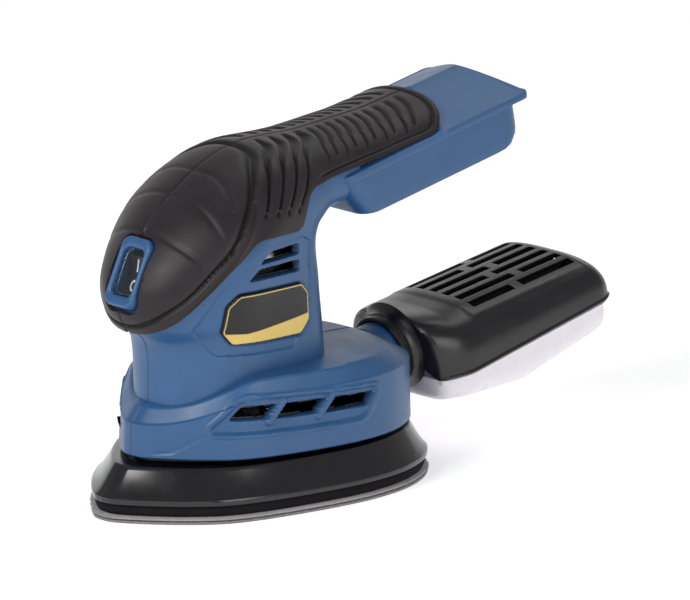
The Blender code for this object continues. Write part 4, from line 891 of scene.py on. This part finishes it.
def pile_fibres(material):
    """Loose hooks round the pile's edge: arcs whose height is a half sine of their length."""
    rng = np.random.default_rng(7)
    count = 1500
    nose, rear, half = SOLE
    x, y = iron(nose, rear, half, 600)
    pick = rng.integers(0, len(x), count)
    base = np.stack([x[pick], y[pick], rng.uniform(1.2, 2.5, count)], axis=-1)
    tangent = np.stack([np.roll(x, -1) - np.roll(x, 1), np.roll(y, -1) - np.roll(y, 1)], axis=-1)
    tangent = tangent[pick] / np.linalg.norm(tangent[pick], axis=1)[:, None]
    out = np.stack([tangent[:, 1], -tangent[:, 0], np.zeros(count)], axis=-1)
    away = np.sign((out * (base - [0, 8, 0])).sum(axis=1))[:, None]
    out *= away
    side = np.stack([tangent[:, 0], tangent[:, 1], np.zeros(count)], axis=-1)
    t = np.linspace(0, 1, 4)[None, :, None]
    long = rng.uniform(0.5, 1.3, count)[:, None, None]
    lean = rng.uniform(-0.7, 0.7, count)[:, None, None]
    bend = rng.uniform(-0.5, 0.2, count)[:, None, None]
    line = base[:, None, :] - 0.4 * out[:, None, :] + t * long * (out[:, None, :]
                                                               + lean * side[:, None, :])
    line = line + np.array([0, 0, 1.0]) * bend * np.sin(t * math.pi / 2) ** 2
    width = 0.07 * (1 - 0.6 * t)
    a = line + side[:, None, :] * width
    b = line - side[:, None, :] * width
    c = line + np.array([0, 0, 1.0]) * width
    p = np.stack([a, b, c], axis=2)
    base_face = np.array([[0, 1, 4, 3], [1, 2, 5, 4], [2, 0, 3, 5]])
    faces = (base_face[None, None] + 3 * np.arange(3)[None, :, None, None]
             + 12 * np.arange(count)[:, None, None, None]).reshape(-1, 4)
    mesh = bpy.data.meshes.new("pile_fibres")
    mesh.from_pydata((p.reshape(-1, 3) * MM).tolist(), [], faces.tolist())
    mesh.materials.append(material)
    mesh.shade_smooth()
    thing = bpy.data.objects.new("pile_fibres", mesh)
    bpy.context.scene.collection.objects.link(thing)
    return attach(thing, "orbiting_platen")


def sanding_sheet(material):
    """The sheet: a thin flat band."""
    rows = [(0.15, 0.02), (0.0, 0.1), (0.0, 0.9), (0.15, 1.0)]
    return piece("sanding_sheet", closed_stack(rows), "orbiting_platen", material,
                 wraps=True, stands_for=["abrasive_sheet"], sharp=40)


# ================================================================ dust box
def box_half(y):
    """Half width of the dust box along it: a quarter sine from the neck to the full width."""
    return 17.5 + 11.0 * np.sin(np.clip(y / 22.0, 0, 1) * math.pi / 2)


SLOT_EDGES = [c + e for c in (-17.0, -10.2, -3.4, 3.4, 10.2, 17.0) for e in (-2.0, 2.0)]


def cover_shell(material):
    """The dust box's cover, with open slots.

    Its cross-section is |x / half|^n + |z / top|^n = 1, with columns of points on the slots'
    edges, and rows on their ends. The faces inside a slot are left out.
    """
    n = 3.2
    inner_x = np.array([-20.5, *SLOT_EDGES, 20.5])
    fine = np.concatenate([np.linspace(a, b, 5, endpoint=False)
                           for a, b in zip(inner_x[:-1], inner_x[1:])] + [[20.5]])
    full = 28.5
    top_edge = (1 - (20.5 / full) ** n) ** (1 / n)
    side = np.sin(np.linspace(0, 1, 26) * math.asin(top_edge))[:-1]
    side_x = (1 - side ** n) ** (1 / n)
    share_x = np.concatenate([-side_x, fine / full, side_x[::-1]])
    share_z = np.concatenate([side, (1 - np.abs(fine / full) ** n) ** (1 / n), side[::-1]])
    ends = [33.0, 54.5, 58.5, 61.5, 65.5, 85.5]
    marks_y = np.unique(np.concatenate([
        np.linspace(7.0, 32.0, 24), np.linspace(33.0, 85.5, 60), ends,
        np.linspace(86.0, 94.0, 14)]))
    half = box_half(marks_y)
    end = np.clip((marks_y - 86.0) / 8.0, 0, 1)
    nose = np.clip((8.5 - marks_y) / 1.5, 0, 1)
    half = half - 3.5 * end ** 2.5 - 1.0 * nose ** 2
    top = 12.4 - 0.075 * marks_y + 2.6 * np.maximum(0, 1 - marks_y / 20)
    top = top - 4.0 * end ** 2.5 - 1.0 * nose ** 2
    x = half[:, None] * share_x
    z = BOX_PARTING + (top - BOX_PARTING)[:, None] * share_z
    y = marks_y[:, None] + 0 * x
    crest = smooth(np.abs(x), 22.0, 24.0) * smooth(z, 0.0, 5.0)
    raised = smooth(marks_y, 27.0, 30.0) * (1 - smooth(marks_y, 87.0, 89.0))
    z = z + 0.5 * raised[:, None] * (1 - crest) * smooth(z, 0.0, 5.0)
    p = np.stack([x, y, z], axis=-1)
    low_rim = p[:, [0, -1]] + np.array([[[-0.9, 0, 0.0], [0.9, 0, 0.0]]])
    p[:, 0], p[:, -1] = low_rim[:, 0], low_rim[:, 1]
    front = np.stack([p[0] * [s, 1, s] + [0, -0.2 * (1 - s), 0] for s in (0.0, 0.5)])
    back = np.stack([p[-1] * [s, 1, s] + [0, 0.3 * (1 - s), 0] for s in (0.5, 0.0)])
    p = np.concatenate([front, p, back])
    y_mid = (p[:-1, :-1, 1] + p[1:, 1:, 1]) / 2
    x_mid = (p[:-1, :-1, 0] + p[1:, 1:, 0] + p[:-1, 1:, 0] + p[1:, :-1, 0]) / 4
    keep = np.ones(y_mid.shape, bool)
    for i in range(6):
        low, high = SLOT_EDGES[2 * i:2 * i + 2]
        split = (54.5, 58.5) if i % 2 else (61.5, 65.5)
        within = (x_mid > low + 0.01) & (x_mid < high - 0.01) & (p[:-1, :-1, 2] > 0)
        along = (y_mid > 33.0) & (y_mid < 85.5) & ~((y_mid > split[0]) & (y_mid < split[1]))
        keep &= ~(within & along)
    thing = piece("cover_shell", placed(p, DUST), "dust_box", material,
                  keep=keep, stands_for=["dust_cover"],
                  marks={"shade": np.zeros(p.shape[:2])}, sharp=38)
    walled(thing, BOX_WALL, 0.35)
    return thing


def painted_shade_sheet(material):
    """A dark sheet of painted shade under the slots, standing in for the shade inside the box: the
    cover's own section, carried below it by the sheet's set drop.
    """
    x = np.linspace(-21.0, 21.0, 25)[None, :]
    y = np.linspace(31.0, 88.0, 30)[:, None]
    top = 12.4 - 0.075 * y - 4.0 * np.clip((y - 86.0) / 8.0, 0, 1) ** 2.5
    z = BOX_PARTING + (top - BOX_PARTING) * (1 - np.abs(x / 28.5) ** 3.2) ** (1 / 3.2) - SHADE_SHEET_DROP
    p = placed(np.stack([x + 0 * y, y + 0 * x, z], axis=-1), DUST)
    return piece("painted_shade_sheet", p, "dust_box", material)


def cover_neck(material):
    """The ring that goes over the spigot, with two grooves: a profile turned about its axis."""
    profile = [(12.3, 7.4), (12.3, 0.4), (12.7, 0.0), (13.6, 0.0), (13.9, 0.3), (14.0, 1.7),
               (13.6, 2.1), (13.6, 3.3), (14.1, 3.7), (14.3, 5.0), (15.2, 6.2), (17.0, 7.4)]
    return piece("cover_neck", turned(profile, 120, DUST), "dust_box", material,
                 wraps=True, marks={"shade": np.zeros((len(profile), 120))})


def tray_shell(material):
    """The tray: U-shaped sections |x / half|^n + |z / deep|^n = 1."""
    n = 5.0
    a = np.linspace(0, math.pi, 90)
    c, s = np.cos(a), np.sin(a)
    radius = (np.abs(c) ** n + np.abs(s) ** n) ** (-1 / n)
    y = np.concatenate([np.linspace(7.5, 16.0, 12), np.linspace(17.0, 82.0, 44),
                        np.linspace(83.0, 91.5, 14)])
    end = np.clip((y - 85.0) / 6.5, 0, 1)
    nose = np.clip((10.5 - y) / 3.0, 0, 1)
    half = box_half(y) - 1.4 - 3.0 * end ** 2.5 - 1.5 * nose ** 2
    flat = BOX_PARTING - TRAY_DEEP + np.where(y < TRAY_TURN, 0.2 * (TRAY_TURN - y),
                                              0.09 * (y - TRAY_TURN))
    low = flat + 3.0 * end ** 2.5 + 2.0 * nose ** 2
    top = BOX_PARTING - 0.3
    x = half[:, None] * radius * c
    z = top - (top - low)[:, None] * radius * s
    p = np.stack([x, y[:, None] + 0 * x, z], axis=-1)
    front = np.stack([p[0] * [k, 1, 0] + [0, 0, 1] * (p[0] * k + (1 - k) * top)
                      for k in (0.0, 0.6)])
    back = np.stack([p[-1] * [k, 1, 0] + [0, 0, 1] * (p[-1] * k + (1 - k) * top)
                     for k in (0.6, 0.0)])
    p = np.concatenate([front, p, back])
    thing = piece("tray_shell", placed(p, DUST), "tray", material,
                  stands_for=["dust_tray"], marks={"shade": np.zeros(p.shape[:2])}, sharp=50)
    walled(thing, BOX_WALL, 0.3)
    return thing


def tray_flange(material):
    """The tray's rim: a band that follows the box's outline just under the cover."""
    t = np.linspace(0, 1, 60)
    y = 8.2 + (91.3 - 8.2) * t
    end = np.clip((y - 85.0) / 6.5, 0, 1)
    half = box_half(y) - 0.9 - 3.4 * end ** 2.5
    x = np.concatenate([half, -half[::-1]])
    yy = np.concatenate([y, y[::-1]])
    rings = []
    for out, z in ((-1.2, -10.35), (0.25, -10.35), (0.5, -10.6), (0.5, -12.0), (0.2, -12.4),
                   (-1.2, -12.6)):
        rings.append(np.stack([x + out * np.sign(x), yy + out * 0.5 * np.sign(yy - 50), z + 0 * x],
                              axis=-1))
    rings.append(rings[0])
    return piece("tray_flange", placed(np.array(rings), DUST), "tray", material,
                 wraps=True, marks={"shade": np.zeros((7, 120))}, sharp=50)


def spigot_tube(material):
    """The blue outlet tube, with a lead-in at its end: a turned profile."""
    profile = [(10.2, -6.0), (10.2, 6.7), (10.6, 7.0), (11.5, 7.0), (12.0, 6.4), (12.0, 1.0),
               (12.0, -1.0), (12.0, -3.0), (12.0, -6.0), (10.2, -6.0)]
    return piece("spigot_tube", turned(profile, 96, DUST), "housing_body", material,
                 wraps=True, stands_for=["dust_spigot"],
                 marks={"shade": np.zeros((len(profile), 96))})


# ================================================================ stage
def floor_sweep(material):
    """A paper sweep: flat, then a quarter circle up behind, carried across its width."""
    turn = np.linspace(0, math.pi / 2, 24)
    along = np.concatenate([np.linspace(-7000, 7000, 12), 7000 + 1200 * np.sin(turn[1:]),
                            [8200.0, 8200.0]])
    up = np.concatenate([np.zeros(12), 1200 * (1 - np.cos(turn[1:])), [2500.0, 5000.0]])
    across = np.linspace(-8000, 8000, 9)
    a = math.radians(50.0)
    x = across[None, :] * math.cos(a) - along[:, None] * math.sin(a)
    y = across[None, :] * math.sin(a) + along[:, None] * math.cos(a)
    z = up[:, None] + 0 * x
    rows, columns = x.shape
    mesh = bpy.data.meshes.new("paper_sweep")
    points = np.stack([x, y, z], axis=-1).reshape(-1, 3) * MM
    mesh.from_pydata(points.tolist(), [], quads(rows, columns).tolist())
    mesh.materials.append(material)
    mesh.shade_smooth()
    thing = bpy.data.objects.new("paper_sweep", mesh)
    bpy.context.scene.collection.objects.link(thing)
    return thing


def soft_lights():
    """Three large soft lamps and a pale sky, all low enough to keep the dark plastics dark."""
    for name, place, size, power in (
            ("key_lamp", (0.15, -1.35, 0.95), 0.7, 15.0),
            ("side_lamp", (1.45, -0.15, 0.55), 0.8, 6.5),
            ("top_lamp", (-0.25, 0.6, 1.5), 0.8, 3.6)):
        lamp = bpy.data.lights.new(name, "AREA")
        lamp.size, lamp.energy = size, power
        thing = bpy.data.objects.new(name, lamp)
        aim = Matrix.Translation((0, 0.03, 0.07)).to_translation() - Matrix.Translation(
            place).to_translation()
        thing.location = place
        thing.rotation_euler = aim.to_track_quat("-Z", "Y").to_euler()
        bpy.context.scene.collection.objects.link(thing)
    world = bpy.data.worlds.new("pale_sky")
    world.use_nodes = True
    sky = world.node_tree.nodes["Background"]
    sky.inputs["Color"].default_value = linear("F7F8FA")
    sky.inputs["Strength"].default_value = 0.36
    bpy.context.scene.world = world


def set_camera():
    """A long lens at azimuth 47.4 and elevation 14.6 degrees, 3 m from the tool's middle."""
    azimuth, elevation, far = math.radians(47.4), math.radians(14.6), 3000.0
    middle, aside, down = np.array([0.0, 25.0, 70.0]), 19.6, 4.03
    right = np.array([math.cos(azimuth), math.sin(azimuth), 0.0])
    back = np.array([math.sin(azimuth) * math.cos(elevation),
                     -math.cos(azimuth) * math.cos(elevation), math.sin(elevation)])
    up = np.cross(back, right)
    place = (middle + back * far + right * aside - up * down) * MM
    camera = bpy.data.objects.new("camera", bpy.data.cameras.new("camera"))
    camera.data.lens = 427.3
    camera.data.sensor_width = 36.0
    camera.data.clip_end = 20.0
    camera.matrix_world = Matrix([[*v, w] for v, w in zip(np.stack([right, up, back], axis=1),
                                                            place)] + [[0, 0, 0, 1]])
    bpy.context.scene.collection.objects.link(camera)
    bpy.context.scene.camera = camera


# ================================================================ add-on
class SanderSizes(bpy.types.PropertyGroup):
    """Sizes that a user would change."""
    grip_proud: bpy.props.FloatProperty(
        name="Grip Height", description="How far the soft grip stands above the blue surface",
        default=0.0018, min=0.0005, max=0.003, unit="LENGTH", subtype="DISTANCE")
    groove_depth: bpy.props.FloatProperty(
        name="Groove Depth", description="Depth of the grooves in the grip",
        default=0.0011, min=0.0, max=0.002, unit="LENGTH", subtype="DISTANCE")
    lid_crown: bpy.props.FloatProperty(
        name="Lid Crown", description="How far the base's lid rises to its middle",
        default=LID_CROWN * MM, min=0.0, max=0.006, unit="LENGTH", subtype="DISTANCE")


class SanderColours(bpy.types.PropertyGroup):
    """Colours that a user would change, as sRGB hex codes."""
    blue: bpy.props.StringProperty(
        name="Housing", description="Housing colour as an sRGB hex code", default="224D78")
    grip: bpy.props.StringProperty(
        name="Grip", description="Grip colour as an sRGB hex code", default="1C1418")


def finish_named(name):
    """A material made by the materials operator."""
    material = bpy.data.materials.get(name)
    if material is None:
        raise RuntimeError(f"material {name} is missing: run the materials operator first")
    return material


class SANDER_OT_materials(bpy.types.Operator):
    """Make every finish, and give the carried CAD pieces theirs."""
    bl_idname = "sander.materials"
    bl_label = "Materials"

    def execute(self, context):
        colours = context.scene.sander_colours
        made = make_materials(colours.blue, colours.grip)
        for finish, (_, nodes) in CARRIED.items():
            for node in nodes:
                NODES[node].data.materials.clear()
                NODES[node].data.materials.append(made[finish])
        return {"FINISHED"}


class SANDER_OT_base(bpy.types.Operator):
    """Build the base's skirt, ledge and lid."""
    bl_idname = "sander.base"
    bl_label = "Base"

    def execute(self, context):
        base_shell(context.scene.sander_sizes, finish_named("moulded_nylon_blue"))
        return {"FINISHED"}


class SANDER_OT_column(bpy.types.Operator):
    """Build the two blue halves of the column and neck."""
    bl_idname = "sander.column"
    bl_label = "Column"

    def execute(self, context):
        for side in (1, -1):
            column_half(side, finish_named("moulded_nylon_blue"))
        return {"FINISHED"}


class SANDER_OT_grip(bpy.types.Operator):
    """Build the two soft halves of the grip."""
    bl_idname = "sander.grip"
    bl_label = "Soft Grip"

    def execute(self, context):
        for side in (1, -1):
            grip_half(side, context.scene.sander_sizes, finish_named("overmoulded_tpe"))
        return {"FINISHED"}


class SANDER_OT_labels(bpy.types.Operator):
    """Build the plain label on each side."""
    bl_idname = "sander.labels"
    bl_label = "Labels"

    def execute(self, context):
        for side in (1, -1):
            label_plate(side, finish_named("printed_polycarbonate"))
        return {"FINISHED"}


class SANDER_OT_tail(bpy.types.Operator):
    """Build the tail's hipped cap and the battery foot."""
    bl_idname = "sander.tail"
    bl_label = "Tail"

    def execute(self, context):
        tail_roof(finish_named("moulded_nylon_blue"))
        battery_foot(finish_named("moulded_nylon_blue"))
        return {"FINISHED"}


class SANDER_OT_switch(bpy.types.Operator):
    """Build the switch's frame, clear cover and rocker."""
    bl_idname = "sander.switch"
    bl_label = "Switch"

    def execute(self, context):
        switch_frame(finish_named("moulded_nylon_blue"))
        switch_cover(finish_named("clear_pvc"))
        rocker_cap(finish_named("painted_abs_black"))
        return {"FINISHED"}


class SANDER_OT_platen(bpy.types.Operator):
    """Build the platen with its foam, pile and sheet."""
    bl_idname = "sander.platen"
    bl_label = "Platen"

    def execute(self, context):
        platen_body(finish_named("polished_abs_black"))
        foam_layer(finish_named("closed_cell_foam"))
        pile_layer(finish_named("hook_velour"))
        pile_fibres(finish_named("hook_velour"))
        sanding_sheet(finish_named("alumina_grit"))
        return {"FINISHED"}


class SANDER_OT_dust_box(bpy.types.Operator):
    """Build the dust box's cover, neck and tray, and the spigot it slides on."""
    bl_idname = "sander.dust_box"
    bl_label = "Dust Box"

    def execute(self, context):
        spigot_tube(finish_named("moulded_nylon_blue"))
        cover_shell(finish_named("etched_abs_black"))
        # a dark sheet of painted shade under the cover's slots
        painted_shade_sheet(finish_named("closed_cell_foam"))
        cover_neck(finish_named("etched_abs_black"))
        tray_shell(finish_named("milky_polypropylene"))
        tray_flange(finish_named("milky_polypropylene"))
        return {"FINISHED"}


class SANDER_OT_stage(bpy.types.Operator):
    """Build the floor, lamps and camera."""
    bl_idname = "sander.stage"
    bl_label = "Stage"

    def execute(self, context):
        floor_sweep(finish_named("paper_sweep"))
        soft_lights()
        set_camera()
        context.scene.view_settings.view_transform = "Standard"
        return {"FINISHED"}


OPERATORS = (SANDER_OT_materials, SANDER_OT_base, SANDER_OT_column, SANDER_OT_grip,
             SANDER_OT_labels, SANDER_OT_tail, SANDER_OT_switch, SANDER_OT_platen,
             SANDER_OT_dust_box, SANDER_OT_stage)


class SANDER_PT_panel(bpy.types.Panel):
    """The sander's sizes, colours and operators."""
    bl_label = "Detail Mouse Sander"
    bl_idname = "SANDER_PT_panel"
    bl_space_type = "VIEW_3D"
    bl_region_type = "UI"
    bl_category = "Sander"

    def draw(self, context):
        layout = self.layout
        for group in (context.scene.sander_sizes, context.scene.sander_colours):
            for name in group.__annotations__:
                layout.prop(group, name)
        for operator in OPERATORS:
            layout.operator(operator.bl_idname)


CLASSES = (SanderSizes, SanderColours, *OPERATORS, SANDER_PT_panel)


def register():
    for each in CLASSES:
        bpy.utils.register_class(each)
    bpy.types.Scene.sander_sizes = bpy.props.PointerProperty(type=SanderSizes)
    bpy.types.Scene.sander_colours = bpy.props.PointerProperty(type=SanderColours)


def unregister():
    del bpy.types.Scene.sander_colours
    del bpy.types.Scene.sander_sizes
    for each in reversed(CLASSES):
        bpy.utils.unregister_class(each)


def main():
    """Register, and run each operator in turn."""
    register()
    for operator in OPERATORS:
        group, name = operator.bl_idname.split(".")
        getattr(getattr(bpy.ops, group), name)()


if __name__ == "__main__":
    main()
